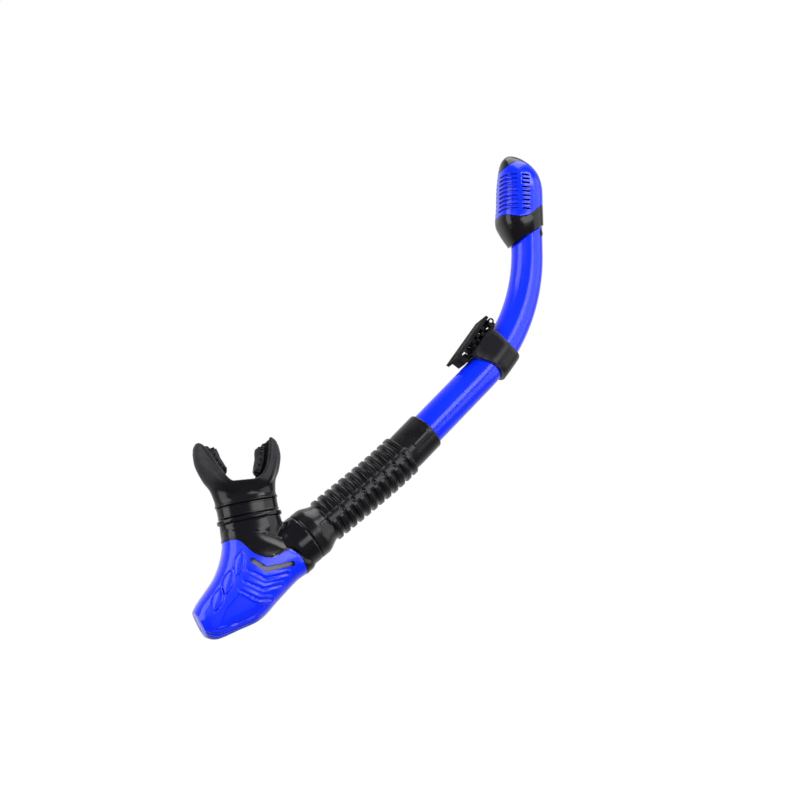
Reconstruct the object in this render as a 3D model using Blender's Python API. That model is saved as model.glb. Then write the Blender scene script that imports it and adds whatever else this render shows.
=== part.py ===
"""Dry-top snorkel: barrel, dry top with float valve, strap keeper, ribbed hose, and mouthpiece with purge.

Run with: blender --background --python part.py

Outlines are drawn in millimetres on a sheet that stands in the snorkel's plane of symmetry, x to the
right and z up, and y is the depth off the sheet, with the diver's head on its far side. The part's origin
is the middle of the keeper's strap slot, so every sheet point is moved by STRAP_SLOT when it becomes a
mesh in metres.
"""

from math import cos, pi, radians, sin

import bmesh
import bpy
from mathutils import Matrix, Vector

MM = 0.001
GAP = 0.3
REACH = 250.0

# Barrel: a straight run, then one bend up to the vertical
BARREL_ANGLE = radians(46.4)
BEND_CENTRE = Vector((-43.4, 0, 123.5))
BEND_RADIUS = 147.0
BARREL_RADIUS_LOW = 13.3
BARREL_RADIUS_TOP = 12.4
BARREL_WALL = 2.0
BARREL_SIDES = 32
HOSE_TOP_FROM_BEND = 62.0
BARREL_IN_HOSE = 20.0
BARREL_TOP_LEVEL = 150.0
BEND_STEPS = 9
TOP_SLANT = radians(33.9)
TOP_SLANT_HEIGHT = 137.0

# Strap keeper, in its own directions: along the barrel and outwards from it
KEEPER_ANGLE = radians(55.0)
KEEPER_CLEARANCE = 0.35
KEEPER_WALL = 2.6
KEEPER_DEPTH = 14.0
PLATE_INNER = 15.2
PLATE_THICKNESS = 2.2
PLATE_ENDS = (-17.0, 13.0)
SLOT_ALONG = -2.7
SLOT_HEIGHT = 6.0
GATE_THICKNESS = 2.4
GATE_ENDS = (-26.8, 15.6)
GATE_HINGE_ALONG = 14.5
GATE_HINGE_OUT = 20.2
GATE_PIN_RADIUS = 1.2
GATE_BARS = (6.5, -0.5, -6.0)
SADDLE_HALF = (11.0, 3.2, 11.0)
HINGE_BARREL_RADIUS = 2.4
HINGE_BARREL_ENDS = (7.3, 13.7)
CATCH_ALONG = -18.0
CATCH_HALF = (1.6, 3.0, 6.0)
HOOK_ALONG = -22.4
HOOK_HALF = (2.2, 4.0, 9.0)

# Ribbed hose
HOSE_CUFF_LENGTH = 18.0
HOSE_ARC_LENGTH = 42.0
HOSE_LOW_LENGTH = 64.0
HOSE_LOW_ANGLE = radians(40.5)
HOSE_CUFF_RADIUS = 15.5
HOSE_VALLEY_RADIUS = 15.3
HOSE_RIB_RADIUS = 17.25
HOSE_SEAM_RADIUS = 19.5
HOSE_INNER_RADIUS = 13.8
HOSE_SIDES = 24
RIB_COUNT = 12
RIB_FIRST = 29.1
RIB_LAST = 103.3

# Dry top
TOP_WALL = 1.8
TOP_SIDES = 32
DECK_LEVEL = 146.2
PLUG_RADIUS = 10.0
PLUG_FOOT = 117.0
PLUG_HEIGHT = 26.0
RING_LEVEL = 4.3
RING_THICKNESS = 0.8
GROOVE_RADIUS = 9.0
TOP_BORE_RADIUS = 8.3
SEAT_X = 105.5
SEAT_HOLE_RADIUS = 6.0
SEAT_RING_RADIUS = 7.6
SEAT_RING_HEIGHT = 2.0
FLOAT_PIN = Vector((95.5, 0, 152.7))
FLOAT_PIN_RADIUS = 1.2
FLOAT_HALF_DEPTH = 10.0
VALVE_OPEN_ANGLE = radians(18.0)
SLOT_ROWS = 9
SLOT_PITCH = 3.55
SLOT_FIRST_LEVEL = 153.2
SLOT_COLUMNS = ((72.0, 91.0), (94.2, 100.8))
LOUVRE_HEIGHT = 1.5
BUTTON_BEARING = radians(48.8)
BUTTON_LEVEL = 138.2
BUTTON_RADIUS = 2.5

# Lower housing, mouthpiece and purge
HOUSING_WALL = 2.2
HOUSING_SIDES = 32
SPIGOT_LENGTH = 18.0
SPIGOT_RADIUS = 13.4
SPIGOT_WALL = 2.2
NECK_FOOT = Vector((-113.8, 0, -91.5))
NECK_LEAN = radians(12.5)
NECK_HALF = (24.0, 16.4)
COLLAR_HALF = (18.5, 11.5)
CLAMP_HEIGHT = 8.4
MOUTH_SIDES = 36
SLEEVE_THICKNESS = 2.4
SKIRT_HEIGHT = 14.0
RIM_LOW = 25.0
RIM_HIGH = 56.3
RIM_TILT = 2.8
TAB_THICKNESS = 4.4
TAB_OUTLINE = ((29.8, 33), (30.6, 47), (28.5, 52), (22, 53), (19, 50.5), (14, 50), (12.5, 43), (9.8, 36),
               (9.5, 31), (13, 29.5), (24, 31))
PURGE_CENTRE = Vector((-101.0, 0, -113.5))
PURGE_TILT = radians(-15.4)
PURGE_DISC_RADIUS = 13.0
PURGE_DISC_THICKNESS = 1.0
PURGE_LIFT_ROOM = 3.0
PURGE_SEAT_HALF = 1.2
PURGE_STEM_RADIUS = 1.6
PORT_COUNT = 6
PORT_RADIUS = 2.9
PORT_CIRCLE = 7.5


def direction(angle):
    """The unit vector on the sheet at this angle above x."""
    return Vector((cos(angle), 0, sin(angle)))


def outward(angle):
    """From the bend's centre to the barrel, where the barrel runs at this angle."""
    return Vector((sin(angle), 0, -cos(angle)))


def bend_point(angle):
    return BEND_CENTRE + BEND_RADIUS * outward(angle)


KEEPER_ALONG = direction(KEEPER_ANGLE)
KEEPER_OUT = -outward(KEEPER_ANGLE)
KEEPER_CENTRE = bend_point(KEEPER_ANGLE)
PLATE_OUTER = PLATE_INNER + PLATE_THICKNESS
GATE_INNER = PLATE_OUTER + SLOT_HEIGHT


def on_keeper(along, out, y=0.0):
    """The sheet point at these distances along the barrel and outwards from its middle line."""
    return KEEPER_CENTRE + along * KEEPER_ALONG + out * KEEPER_OUT + Vector((0, y, 0))


STRAP_SLOT = on_keeper(SLOT_ALONG, PLATE_OUTER + SLOT_HEIGHT / 2)
BARREL_X = BEND_CENTRE.x + BEND_RADIUS
HOSE_TOP = bend_point(BARREL_ANGLE) - HOSE_TOP_FROM_BEND * direction(BARREL_ANGLE)
NECK_UP = direction(pi / 2 + NECK_LEAN)
NECK_ACROSS = direction(NECK_LEAN)
PURGE_ACROSS = direction(PURGE_TILT)
PURGE_DOWN = direction(PURGE_TILT - pi / 2)

# Colour, roughness and metallic value of each finish
FINISHES = {
    "blue": ((0.004, 0.03, 0.95), 0.22, 0.0),
    "gloss_black": ((0.006, 0.006, 0.008), 0.12, 0.0),
    "satin_black": ((0.012, 0.012, 0.015), 0.38, 0.0),
    "silicone": ((0.014, 0.014, 0.018), 0.45, 0.0),
    "hose_black": ((0.008, 0.008, 0.01), 0.33, 0.0),
    "white": ((0.7, 0.7, 0.68), 0.5, 0.0),
    "steel": ((0.6, 0.6, 0.6), 0.3, 1.0),
}


def clear_scene():
    for obj in list(bpy.data.objects):
        bpy.data.objects.remove(obj, do_unlink=True)


def material(name, finish):
    colour, roughness, metallic = FINISHES[finish]
    made = bpy.data.materials.new(name)
    made.use_nodes = True
    shader = made.node_tree.nodes["Principled BSDF"]
    shader.inputs["Base Color"].default_value = (*colour, 1)
    shader.inputs["Roughness"].default_value = roughness
    shader.inputs["Metallic"].default_value = metallic
    return made


def add_object(name, bm, finish=None, pivot=STRAP_SLOT):
    """Turns a sheet-space bmesh in millimetres into an object in metres, with its origin at the pivot."""
    bmesh.ops.recalc_face_normals(bm, faces=bm.faces)
    to_metres = Matrix.Scale(MM, 4) @ Matrix.Translation(-pivot)
    bm.transform(to_metres)
    mesh = bpy.data.meshes.new(name)
    bm.to_mesh(mesh)
    bm.free()
    mesh.shade_smooth()
    mesh.set_sharp_from_angle(angle=radians(35))
    obj = bpy.data.objects.new(name, mesh)
    obj.location = (pivot - STRAP_SLOT) * MM
    bpy.context.scene.collection.objects.link(obj)
    if finish:
        mesh.materials.append(material(name, finish))
    return obj


def boolean(obj, operation, bm, solver="EXACT"):
    """Joins, cuts or keeps the part of obj that the helper shape covers."""
    helper = add_object(f"{obj.name}.{operation.lower()}.{len(obj.modifiers)}", bm)
    helper.hide_render = True
    helper.display_type = "WIRE"
    step = obj.modifiers.new(operation.title(), "BOOLEAN")
    step.operation = operation
    step.solver = solver
    step.object = helper
    return helper


def smooth(points, steps):
    """A Catmull-Rom curve through the points, each a tuple of numbers, with this many steps a span."""
    ends = [points[0], *points, points[-1]]
    curve = []
    for i in range(1, len(ends) - 2):
        for k in range(steps):
            t = k / steps
            row = zip(ends[i - 1], ends[i], ends[i + 1], ends[i + 2])
            curve.append(tuple(
                0.5 * (2 * b + (c - a) * t + (2 * a - 5 * b + 4 * c - d) * t**2
                       + (3 * b - a - 3 * c + d) * t**3)
                for a, b, c, d in row
            ))
    return [*curve, points[-1]]


def loop(centre, across, depth, sides, power=2.0):
    """A ring of points round centre: a superellipse, across on the sheet and depth in y."""
    points = []
    for k in range(sides):
        angle = 2 * pi * k / sides
        c, s = cos(angle), sin(angle)
        reach = abs(c) ** (2 / power) * (1 if c >= 0 else -1)
        rise = abs(s) ** (2 / power) * (1 if s >= 0 else -1)
        points.append(centre + across * reach + Vector((0, depth * rise, 0)))
    return points


def skin(rings, hollow=False):
    """Bridges rings of equal count: capped at both ends, or closed on itself when hollow."""
    bm = bmesh.new()
    rows = [[bm.verts.new(point) for point in ring] for ring in rings]
    pairs = list(zip(rows, rows[1:]))
    if hollow:
        pairs.append((rows[-1], rows[0]))
    else:
        bm.faces.new(rows[0])
        bm.faces.new(rows[-1])
    for low, high in pairs:
        for k in range(len(low)):
            after = (k + 1) % len(low)
            bm.faces.new((low[k], low[after], high[after], high[k]))
    return bm


def prism(outline, y_low, y_high):
    """The outline, of (x, z) points on the sheet, extruded in y."""
    bm = bmesh.new()
    face = bm.faces.new([bm.verts.new((x, y_low, z)) for x, z in outline])
    extruded = bmesh.ops.extrude_face_region(bm, geom=[face])["geom"]
    moved = [item for item in extruded if isinstance(item, bmesh.types.BMVert)]
    bmesh.ops.translate(bm, verts=moved, vec=(0, y_high - y_low, 0))
    return bm


def rod(start, end, radius, sides=16, end_radius=None):
    """A round bar, or a cone frustum when end_radius is given."""
    axis = end - start
    turn = axis.to_track_quat("Z", "Y").to_matrix().to_4x4()
    place = Matrix.Translation((start + end) / 2) @ turn
    bm = bmesh.new()
    bmesh.ops.create_cone(bm, cap_ends=True, segments=sides, radius1=radius,
                          radius2=radius if end_radius is None else end_radius,
                          depth=axis.length, matrix=place)
    return bm


def turned(start, axis, outline, sides):
    """A ring-shaped body turned about the axis: the outline is of (distance along, radius)."""
    axis = axis.normalized()
    side = axis.cross(Vector((0, 1, 0)))
    if side.length < 0.1:
        side = axis.cross(Vector((1, 0, 0)))
    side.normalize()
    up = axis.cross(side)
    rings = []
    for along, radius in outline:
        middle = start + axis * along
        rings.append([middle + radius * (cos(2 * pi * k / sides) * side
                                         + sin(2 * pi * k / sides) * up) for k in range(sides)])
    return skin(rings, hollow=True)


def block(centre, along, out, half_along, half_out, half_depth):
    """A box turned on the sheet."""
    corners = [centre + along * (a * half_along) + out * (o * half_out)
               for a, o in ((-1, -1), (1, -1), (1, 1), (-1, 1))]
    return prism([(corner.x, corner.z) for corner in corners],
                 centre.y - half_depth, centre.y + half_depth)


# Barrel

def barrel_line():
    """(point, running angle) from the end inside the hose to above the dry top's joint."""
    line = []
    straight = direction(BARREL_ANGLE)
    reach = HOSE_TOP_FROM_BEND + BARREL_IN_HOSE
    for part in (0, 0.5):
        line.append((bend_point(BARREL_ANGLE) - reach * (1 - part) * straight, BARREL_ANGLE))
    for k in range(BEND_STEPS + 1):
        angle = BARREL_ANGLE + (pi / 2 - BARREL_ANGLE) * k / BEND_STEPS
        line.append((bend_point(angle), angle))
    line.append((Vector((BARREL_X, 0, BARREL_TOP_LEVEL)), pi / 2))
    return line


def barrel_radius(angle):
    share = (angle - BARREL_ANGLE) / (pi / 2 - BARREL_ANGLE)
    return BARREL_RADIUS_LOW + (BARREL_RADIUS_TOP - BARREL_RADIUS_LOW) * share


def slanted_half(above):
    """A big wedge above or below the slanted joint of barrel and dry top."""
    along = direction(TOP_SLANT)
    out = direction(TOP_SLANT + pi / 2)
    middle = Vector((BARREL_X, 0, TOP_SLANT_HEIGHT))
    shift = 30 + GAP / 2
    return block(middle + out * (shift if above else -shift), along, out, 60, 30, 40)


def make_barrel():
    outer = [loop(point, outward(angle) * barrel_radius(angle), barrel_radius(angle), BARREL_SIDES)
             for point, angle in barrel_line()]
    inner = [loop(point, outward(angle) * (barrel_radius(angle) - BARREL_WALL),
                  barrel_radius(angle) - BARREL_WALL, BARREL_SIDES)
             for point, angle in barrel_line()]
    barrel = add_object("barrel_tube", skin(outer + inner[::-1], hollow=True), "blue")
    boolean(barrel, "DIFFERENCE", slanted_half(above=True))
    boolean(barrel, "DIFFERENCE", button_rod(BUTTON_RADIUS + GAP, 7.0, 16.0))


# Dry top

TOP_STATIONS = (
    # level, left, right, half depth
    (117.0, 91.2, 116.0, 12.4),
    (127.0, 89.4, 116.0, 12.7),
    (133.3, 85.5, 116.0, 14.5),
    (139.0, 82.2, 116.0, 17.0),
    (147.0, 79.1, 115.8, 19.0),
    (160.0, 79.9, 115.6, 19.0),
    (175.0, 80.4, 115.3, 18.5),
    (185.0, 81.2, 112.8, 16.5),
    (192.0, 82.1, 108.5, 13.0),
    (197.0, 83.4, 103.4, 9.0),
    (200.5, 86.0, 98.0, 5.0),
    (202.0, 88.5, 94.0, 2.2),
)
TOP_POWER = 2.5
COVER_EDGE = ((60, 149.8), (80, 149.6), (85, 148.6), (92, 147.4), (100, 149.5), (106, 154.5), (111, 158.5),
              (118, 160.2), (140, 160.5))
CAP_EDGE = ((60, 178), (74, 183.2), (84, 189.8), (91, 194.4), (97, 195.2), (103, 192.6), (107.5, 187.6),
            (111, 181), (113.6, 172), (114.6, 163), (114.8, 152), (115, 141))


def top_body(inset=0.0, first=0, lift=0.0):
    """The dry top's whole outer form, or the form inside its wall."""
    rings = []
    for level, left, right, depth in TOP_STATIONS[first:]:
        middle = Vector(((left + right) / 2, 0, level + lift))
        half = max((right - left) / 2 - inset, 0.6)
        rings.append(loop(middle, Vector((half, 0, 0)), max(depth - inset, 0.5), TOP_SIDES, TOP_POWER))
    return skin(rings)


def edge_line(edge, shift):
    """The smooth line through the edge's points, moved sideways: up where it runs to the right."""
    line = smooth(edge, 3)
    moved = []
    for number, (x, z) in enumerate(line):
        before, after = line[max(number - 1, 0)], line[min(number + 1, len(line) - 1)]
        run = Vector((after[0] - before[0], after[1] - before[1])).normalized()
        moved.append((x - run.y * shift, z + run.x * shift))
    return moved


def below(edge, shift):
    """Everything under an edge line."""
    line = edge_line(edge, shift)
    return prism([*line, (line[-1][0], -REACH), (line[0][0], -REACH)], -40, 40)


def above(edge, shift):
    """Everything over an edge line, and to its right."""
    line = edge_line(edge, shift)
    return prism([*line, (REACH, line[-1][1]), (REACH, REACH), (line[0][0], REACH)], -40, 40)


def button_rod(radius, start, end):
    """A bar on the lock button's line, between these distances from the barrel's middle line."""
    line = Vector((sin(BUTTON_BEARING), -cos(BUTTON_BEARING), 0))
    middle = Vector((BARREL_X, 0, BUTTON_LEVEL))
    return rod(middle + line * start, middle + line * end, radius, 16)


def make_collar():
    """The black base: it plugs into the barrel and carries the valve's seat and the pin's two lugs."""
    up = Vector((0, 0, 1))
    collar = add_object("dry_top_collar", top_body(), "gloss_black")
    boolean(collar, "INTERSECT", below(COVER_EDGE, -GAP / 2))
    boolean(collar, "INTERSECT", slanted_half(above=True))
    plug_foot = Vector((BARREL_X, 0, PLUG_FOOT))
    boolean(collar, "UNION", rod(plug_foot, plug_foot + up * PLUG_HEIGHT, PLUG_RADIUS, 32))
    chamber = top_body(TOP_WALL, 4, lift=DECK_LEVEL - TOP_STATIONS[4][0])
    boolean(collar, "DIFFERENCE", chamber)
    seat = Vector((SEAT_X, 0, DECK_LEVEL))
    boolean(collar, "UNION", rod(seat - up * 1.5, seat + up * SEAT_RING_HEIGHT, SEAT_RING_RADIUS, 24))
    for side in (-1, 1):
        lug = Vector((FLOAT_PIN.x, side * 12.6, DECK_LEVEL + 3.5))
        boolean(collar, "UNION", block(lug, Vector((1, 0, 0)), up, 2.6, 5.5, 1.2))
    bore_top = plug_foot + up * (PLUG_HEIGHT - 1)
    boolean(collar, "DIFFERENCE", rod(plug_foot - up, bore_top, TOP_BORE_RADIUS, 32))
    boolean(collar, "DIFFERENCE", rod(seat - up * 8, seat + up * 9, SEAT_HOLE_RADIUS, 24))
    pin_hole = rod(FLOAT_PIN - Vector((0, 15, 0)), FLOAT_PIN + Vector((0, 15, 0)),
                   FLOAT_PIN_RADIUS + GAP, 12)
    boolean(collar, "DIFFERENCE", pin_hole)
    boolean(collar, "DIFFERENCE", button_rod(BUTTON_RADIUS + GAP, 4.0, 12.0))
    low, high = RING_LEVEL - 1.3, RING_LEVEL + 1.3
    groove = turned(plug_foot, up, ((low, GROOVE_RADIUS), (low, PLUG_RADIUS + 2),
                                    (high, PLUG_RADIUS + 2), (high, GROOVE_RADIUS)), 32)
    boolean(collar, "DIFFERENCE", groove)


def make_o_ring():
    foot = Vector((BARREL_X, 0, PLUG_FOOT))
    middle = (GROOVE_RADIUS + BARREL_RADIUS_TOP - BARREL_WALL) / 2
    outline = [(RING_LEVEL + RING_THICKNESS * cos(2 * pi * k / 8),
                middle + RING_THICKNESS / 2 * sin(2 * pi * k / 8)) for k in range(8)]
    add_object("dry_top_o_ring", turned(foot, Vector((0, 0, 1)), outline, 32), "silicone")


def make_cover():
    """The blue louvred shell, with nine rows of slots in two columns on each side."""
    cover = add_object("dry_top_cover", top_body(first=3), "blue")
    boolean(cover, "DIFFERENCE", top_body(TOP_WALL, 2))
    boolean(cover, "INTERSECT", above(COVER_EDGE, GAP / 2))
    boolean(cover, "INTERSECT", below(CAP_EDGE, -GAP / 2))
    slots = bmesh.new()
    for row in range(SLOT_ROWS):
        level = SLOT_FIRST_LEVEL + row * SLOT_PITCH
        for side in (-1, 1):
            for left, right in SLOT_COLUMNS:
                low, high = sorted((side * 3.0, side * 26.0))
                outline = [(left, level), (right, level), (right, level + LOUVRE_HEIGHT),
                           (left, level + LOUVRE_HEIGHT)]
                merge(slots, prism(outline, low, high))
    boolean(cover, "DIFFERENCE", slots)


def merge(target, extra):
    """Adds a bmesh's shapes to another and frees it."""
    mesh = bpy.data.meshes.new("merged")
    extra.to_mesh(mesh)
    extra.free()
    target.from_mesh(mesh)
    bpy.data.meshes.remove(mesh)


def make_cap():
    """The black peak, which runs on as a thin spine down the back."""
    cap = add_object("dry_top_cap", top_body(first=3), "gloss_black")
    boolean(cap, "DIFFERENCE", top_body(TOP_WALL, 2))
    boolean(cap, "INTERSECT", above(CAP_EDGE, GAP / 2))
    boolean(cap, "INTERSECT", above(COVER_EDGE, GAP / 2))


def tilt_open(bm):
    """Turns a piece of the valve from shut to its rest, about the float pin."""
    turn = Matrix.Rotation(-VALVE_OPEN_ANGLE, 4, "Y")
    bm.transform(Matrix.Translation(FLOAT_PIN) @ turn @ Matrix.Translation(-FLOAT_PIN))
    return bm


def make_float_valve():
    up = Vector((0, 0, 1))
    depth = Vector((0, 1, 0))
    plate = Vector((SEAT_X, 0, DECK_LEVEL + SEAT_RING_HEIGHT + 2.0))
    hub = rod(FLOAT_PIN - depth * 8, FLOAT_PIN + depth * 8, 2.3, 16)
    lever = add_object("valve_lever", tilt_open(hub), "white", FLOAT_PIN)
    disc = rod(plate, plate + up * 1.6, 7.8, 24)
    boolean(lever, "UNION", tilt_open(disc))
    web = block(Vector((98.5, 0, plate.z + 1.0)), Vector((1, 0, 0)), up, 3.0, 0.9, 5.0)
    boolean(lever, "UNION", tilt_open(web))
    clip = block(Vector((93.2, 0, FLOAT_PIN.z)), Vector((1, 0, 0)), up, 1.2, 0.9, 5.0)
    boolean(lever, "UNION", clip)
    boolean(lever, "DIFFERENCE", rod(FLOAT_PIN - depth * 9, FLOAT_PIN + depth * 9,
                                     FLOAT_PIN_RADIUS + GAP, 12))
    seal = rod(plate - up * 1.6, plate - up * GAP, 7.4, 24)
    add_object("valve_seal", tilt_open(seal), "silicone", FLOAT_PIN)
    outline = ((84.6, 147.4), (91.6, 147.4), (91.6, 159), (97, 161), (97, 172), (94, 176.5),
               (88, 176.5), (84.6, 173))
    add_object("float_block", prism(outline, -FLOAT_HALF_DEPTH, FLOAT_HALF_DEPTH), "white", FLOAT_PIN)
    add_object("float_pin", rod(FLOAT_PIN - depth * 14, FLOAT_PIN + depth * 14,
                                FLOAT_PIN_RADIUS, 12), "steel")


def make_button():
    """The lock button stands through the walls of plug and barrel, and is pressed to free the top."""
    line = Vector((sin(BUTTON_BEARING), -cos(BUTTON_BEARING), 0))
    pivot = Vector((BARREL_X, 0, BUTTON_LEVEL)) + line * BARREL_RADIUS_TOP
    button = button_rod(BUTTON_RADIUS, 9.0, BARREL_RADIUS_TOP + GAP)
    add_object("lock_button", button, "satin_black", pivot)


# Strap keeper

def hinge_rod(y_low, y_high, radius, sides=16):
    """A bar on the gate's hinge axis."""
    return rod(on_keeper(GATE_HINGE_ALONG, GATE_HINGE_OUT, y_low),
               on_keeper(GATE_HINGE_ALONG, GATE_HINGE_OUT, y_high), radius, sides)


def make_keeper():
    """The band round the barrel, widening into the flat plate that the mask strap lies on."""
    inner_radius = barrel_radius(KEEPER_ANGLE) + KEEPER_CLEARANCE
    radius = inner_radius + KEEPER_WALL
    ends = ([], [])
    for k in range(BARREL_SIDES):
        bearing = 2 * pi * k / BARREL_SIDES
        toward_plate = (1 - cos(bearing)) / 2
        for end, along in zip(ends, (-11.5, 8.0 + 4.0 * toward_plate)):
            end.append(on_keeper(along, -radius * cos(bearing), radius * sin(bearing)))
    band = add_object("keeper_band", skin(ends), "gloss_black", BEND_CENTRE)
    plate = block(on_keeper(sum(PLATE_ENDS) / 2, (PLATE_INNER + PLATE_OUTER) / 2), KEEPER_ALONG, KEEPER_OUT,
                  (PLATE_ENDS[1] - PLATE_ENDS[0]) / 2, PLATE_THICKNESS / 2, KEEPER_DEPTH)
    saddle = block(on_keeper(0.5, 13.5), KEEPER_ALONG, KEEPER_OUT, *SADDLE_HALF)
    boolean(band, "UNION", plate)
    boolean(band, "UNION", saddle)
    for side in (-1, 1):
        inner_end, outer_end = (side * end for end in HINGE_BARREL_ENDS)
        knuckle = block(on_keeper(GATE_HINGE_ALONG - 1.5, 18.1, (inner_end + outer_end) / 2),
                        KEEPER_ALONG, KEEPER_OUT, 1.9, 2.2, (HINGE_BARREL_ENDS[1] - HINGE_BARREL_ENDS[0]) / 2)
        boolean(band, "UNION", knuckle)
        boolean(band, "UNION", hinge_rod(inner_end, outer_end, HINGE_BARREL_RADIUS))
    catch = block(on_keeper(CATCH_ALONG, 18.2), KEEPER_ALONG, KEEPER_OUT, *CATCH_HALF)
    boolean(band, "UNION", catch)
    bore = []
    for along in (-27, -13, -4.5, 4.5, 13.5, 27):
        angle = KEEPER_ANGLE + along / BEND_RADIUS
        bore.append(loop(bend_point(angle), outward(angle) * inner_radius, inner_radius, 40))
    boolean(band, "DIFFERENCE", skin(bore))
    boolean(band, "DIFFERENCE", hinge_rod(-KEEPER_DEPTH - 1, KEEPER_DEPTH + 1, GATE_PIN_RADIUS + GAP, 12))


def make_gate():
    """The hinged gate that closes over the strap, with its grip bars and the hook that snaps on the catch."""
    pivot = on_keeper(GATE_HINGE_ALONG, GATE_HINGE_OUT)
    middle = on_keeper(sum(GATE_ENDS) / 2, GATE_INNER + GATE_THICKNESS / 2)
    panel = block(middle, KEEPER_ALONG, KEEPER_OUT, (GATE_ENDS[1] - GATE_ENDS[0]) / 2, GATE_THICKNESS / 2,
                  KEEPER_DEPTH)
    gate = add_object("strap_gate", panel, "gloss_black", pivot)
    for along in GATE_BARS:
        boolean(gate, "UNION", block(on_keeper(along, GATE_INNER - 0.4), KEEPER_ALONG, KEEPER_OUT,
                                     1.3, 1.4, 11.5))
    hook = block(on_keeper(HOOK_ALONG, 20.6), KEEPER_ALONG, KEEPER_OUT, *HOOK_HALF)
    boolean(gate, "UNION", hook)
    reach = HINGE_BARREL_ENDS[0] - GAP
    boolean(gate, "UNION", hinge_rod(-reach, reach, HINGE_BARREL_RADIUS))
    strut = block(on_keeper(GATE_HINGE_ALONG, GATE_HINGE_OUT + 2.2), KEEPER_ALONG, KEEPER_OUT,
                  1.5, 2.4, reach - GAP)
    boolean(gate, "UNION", strut)
    boolean(gate, "DIFFERENCE", hinge_rod(-KEEPER_DEPTH - 1, KEEPER_DEPTH + 1, GATE_PIN_RADIUS + GAP, 12))
    pin_reach = HINGE_BARREL_ENDS[1] - GAP
    add_object("gate_pin", hinge_rod(-pin_reach, pin_reach, GATE_PIN_RADIUS, 12), "steel")


# Ribbed hose

def hose_at(travel):
    """(point, running angle) at this distance from the hose's top end."""
    if travel <= HOSE_CUFF_LENGTH:
        return HOSE_TOP - direction(BARREL_ANGLE) * travel, BARREL_ANGLE
    turn = HOSE_LOW_ANGLE - BARREL_ANGLE
    radius = HOSE_ARC_LENGTH / abs(turn)
    start = HOSE_TOP - direction(BARREL_ANGLE) * HOSE_CUFF_LENGTH
    centre = start + outward(BARREL_ANGLE) * -radius
    share = min((travel - HOSE_CUFF_LENGTH) / HOSE_ARC_LENGTH, 1.0)
    angle = BARREL_ANGLE + turn * share
    point = centre + outward(angle) * radius
    rest = max(travel - HOSE_CUFF_LENGTH - HOSE_ARC_LENGTH, 0.0)
    return point - direction(angle) * rest, angle


HOSE_LENGTH = HOSE_CUFF_LENGTH + HOSE_ARC_LENGTH + HOSE_LOW_LENGTH
HOSE_END, HOSE_END_ANGLE = hose_at(HOSE_LENGTH)
HOSE_MIDDLE = hose_at(HOSE_LENGTH / 2)[0]
DOWN_HOSE = -direction(HOSE_END_ANGLE)


def hose_outline():
    """(distance from the top end, outer radius): cuff, twelve ribs, and the cuff that widens to the seam."""
    pitch = (RIB_LAST - RIB_FIRST) / (RIB_COUNT - 1)
    outline = [(0.0, HOSE_CUFF_RADIUS - 0.4), (0.8, HOSE_CUFF_RADIUS), (RIB_FIRST - 3.4, HOSE_CUFF_RADIUS)]
    for rib in range(RIB_COUNT):
        crest = RIB_FIRST + rib * pitch
        outline += [(crest - 1.5, HOSE_RIB_RADIUS), (crest + 1.5, HOSE_RIB_RADIUS),
                    (crest + pitch / 2, HOSE_VALLEY_RADIUS)]
    outline[-1] = (RIB_LAST + 3.4, HOSE_RIB_RADIUS - 0.8)
    outline += [(RIB_LAST + 8, HOSE_RIB_RADIUS + 0.6), (HOSE_LENGTH - 0.4, HOSE_SEAM_RADIUS)]
    return outline


def make_hose():
    rings = []
    for travel, radius in hose_outline():
        point, angle = hose_at(travel)
        rings.append(loop(point, outward(angle) * radius, radius, HOSE_SIDES))
    for travel in (HOSE_LENGTH - 0.4, 105, 85, 65, 45, 25, 0.0):
        point, angle = hose_at(travel)
        rings.append(loop(point, outward(angle) * HOSE_INNER_RADIUS, HOSE_INNER_RADIUS, HOSE_SIDES))
    add_object("flex_hose", skin(rings, hollow=True), "hose_black", HOSE_MIDDLE)


# Lower housing

BOOT_STATIONS = (
    # left x, left z, right x, right z, half depth, from the toe up
    (-152.9, -161.5, -142.5, -180.0, 14.0),
    (-150.2, -155.8, -134.5, -180.9, 17.5),
    (-144.8, -147.6, -120.0, -174.6, 19.8),
    (-138.8, -138.0, -104.0, -166.6, 20.8),
    (-134.6, -126.5, -91.5, -153.0, 21.0),
    (-132.8, -115.0, -78.0, -138.5, 20.8),
    (-133.8, -104.5, -64.5, -126.5, 19.8),
    (-131.0, -98.0, -76.0, -113.0, 16.0),
)
BOOT_POWER = 2.6
WAVE = ((-170, -111.5), (-140, -111.4), (-132.7, -111.2), (-127.2, -109.9), (-122.5, -110.8),
        (-117.2, -115.2), (-112.8, -119.2), (-106.5, -121.7), (-100.5, -122.6), (-94.5, -120.4),
        (-90.1, -117.6), (-84.8, -116.3), (-79.4, -119.6), (-76, -123), (-72.5, -129), (-66, -137),
        (-40, -165))
GASKET_HEIGHT = 1.2
VENT = ((-113.4, -125.7), (-103.2, -131.7), (-84.2, -127.2))
VENT_HALF_WIDTH = 1.8


def boot_body(inset=0.0, first=0):
    """The boot-shaped lower body, or the form inside its wall."""
    rings = []
    for number, (left, left_z, right, right_z, depth) in enumerate(BOOT_STATIONS):
        if number < first:
            continue
        start, end = Vector((left, 0, left_z)), Vector((right, 0, right_z))
        middle = (start + end) / 2
        if number == 0 and inset:
            middle += Vector((1.2, 0, 0.9)) * inset
        half = (end - start) / 2
        across = half * (1 - inset / half.length)
        rings.append(loop(middle, across, depth - inset, HOUSING_SIDES, BOOT_POWER))
    return skin(rings)


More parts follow.
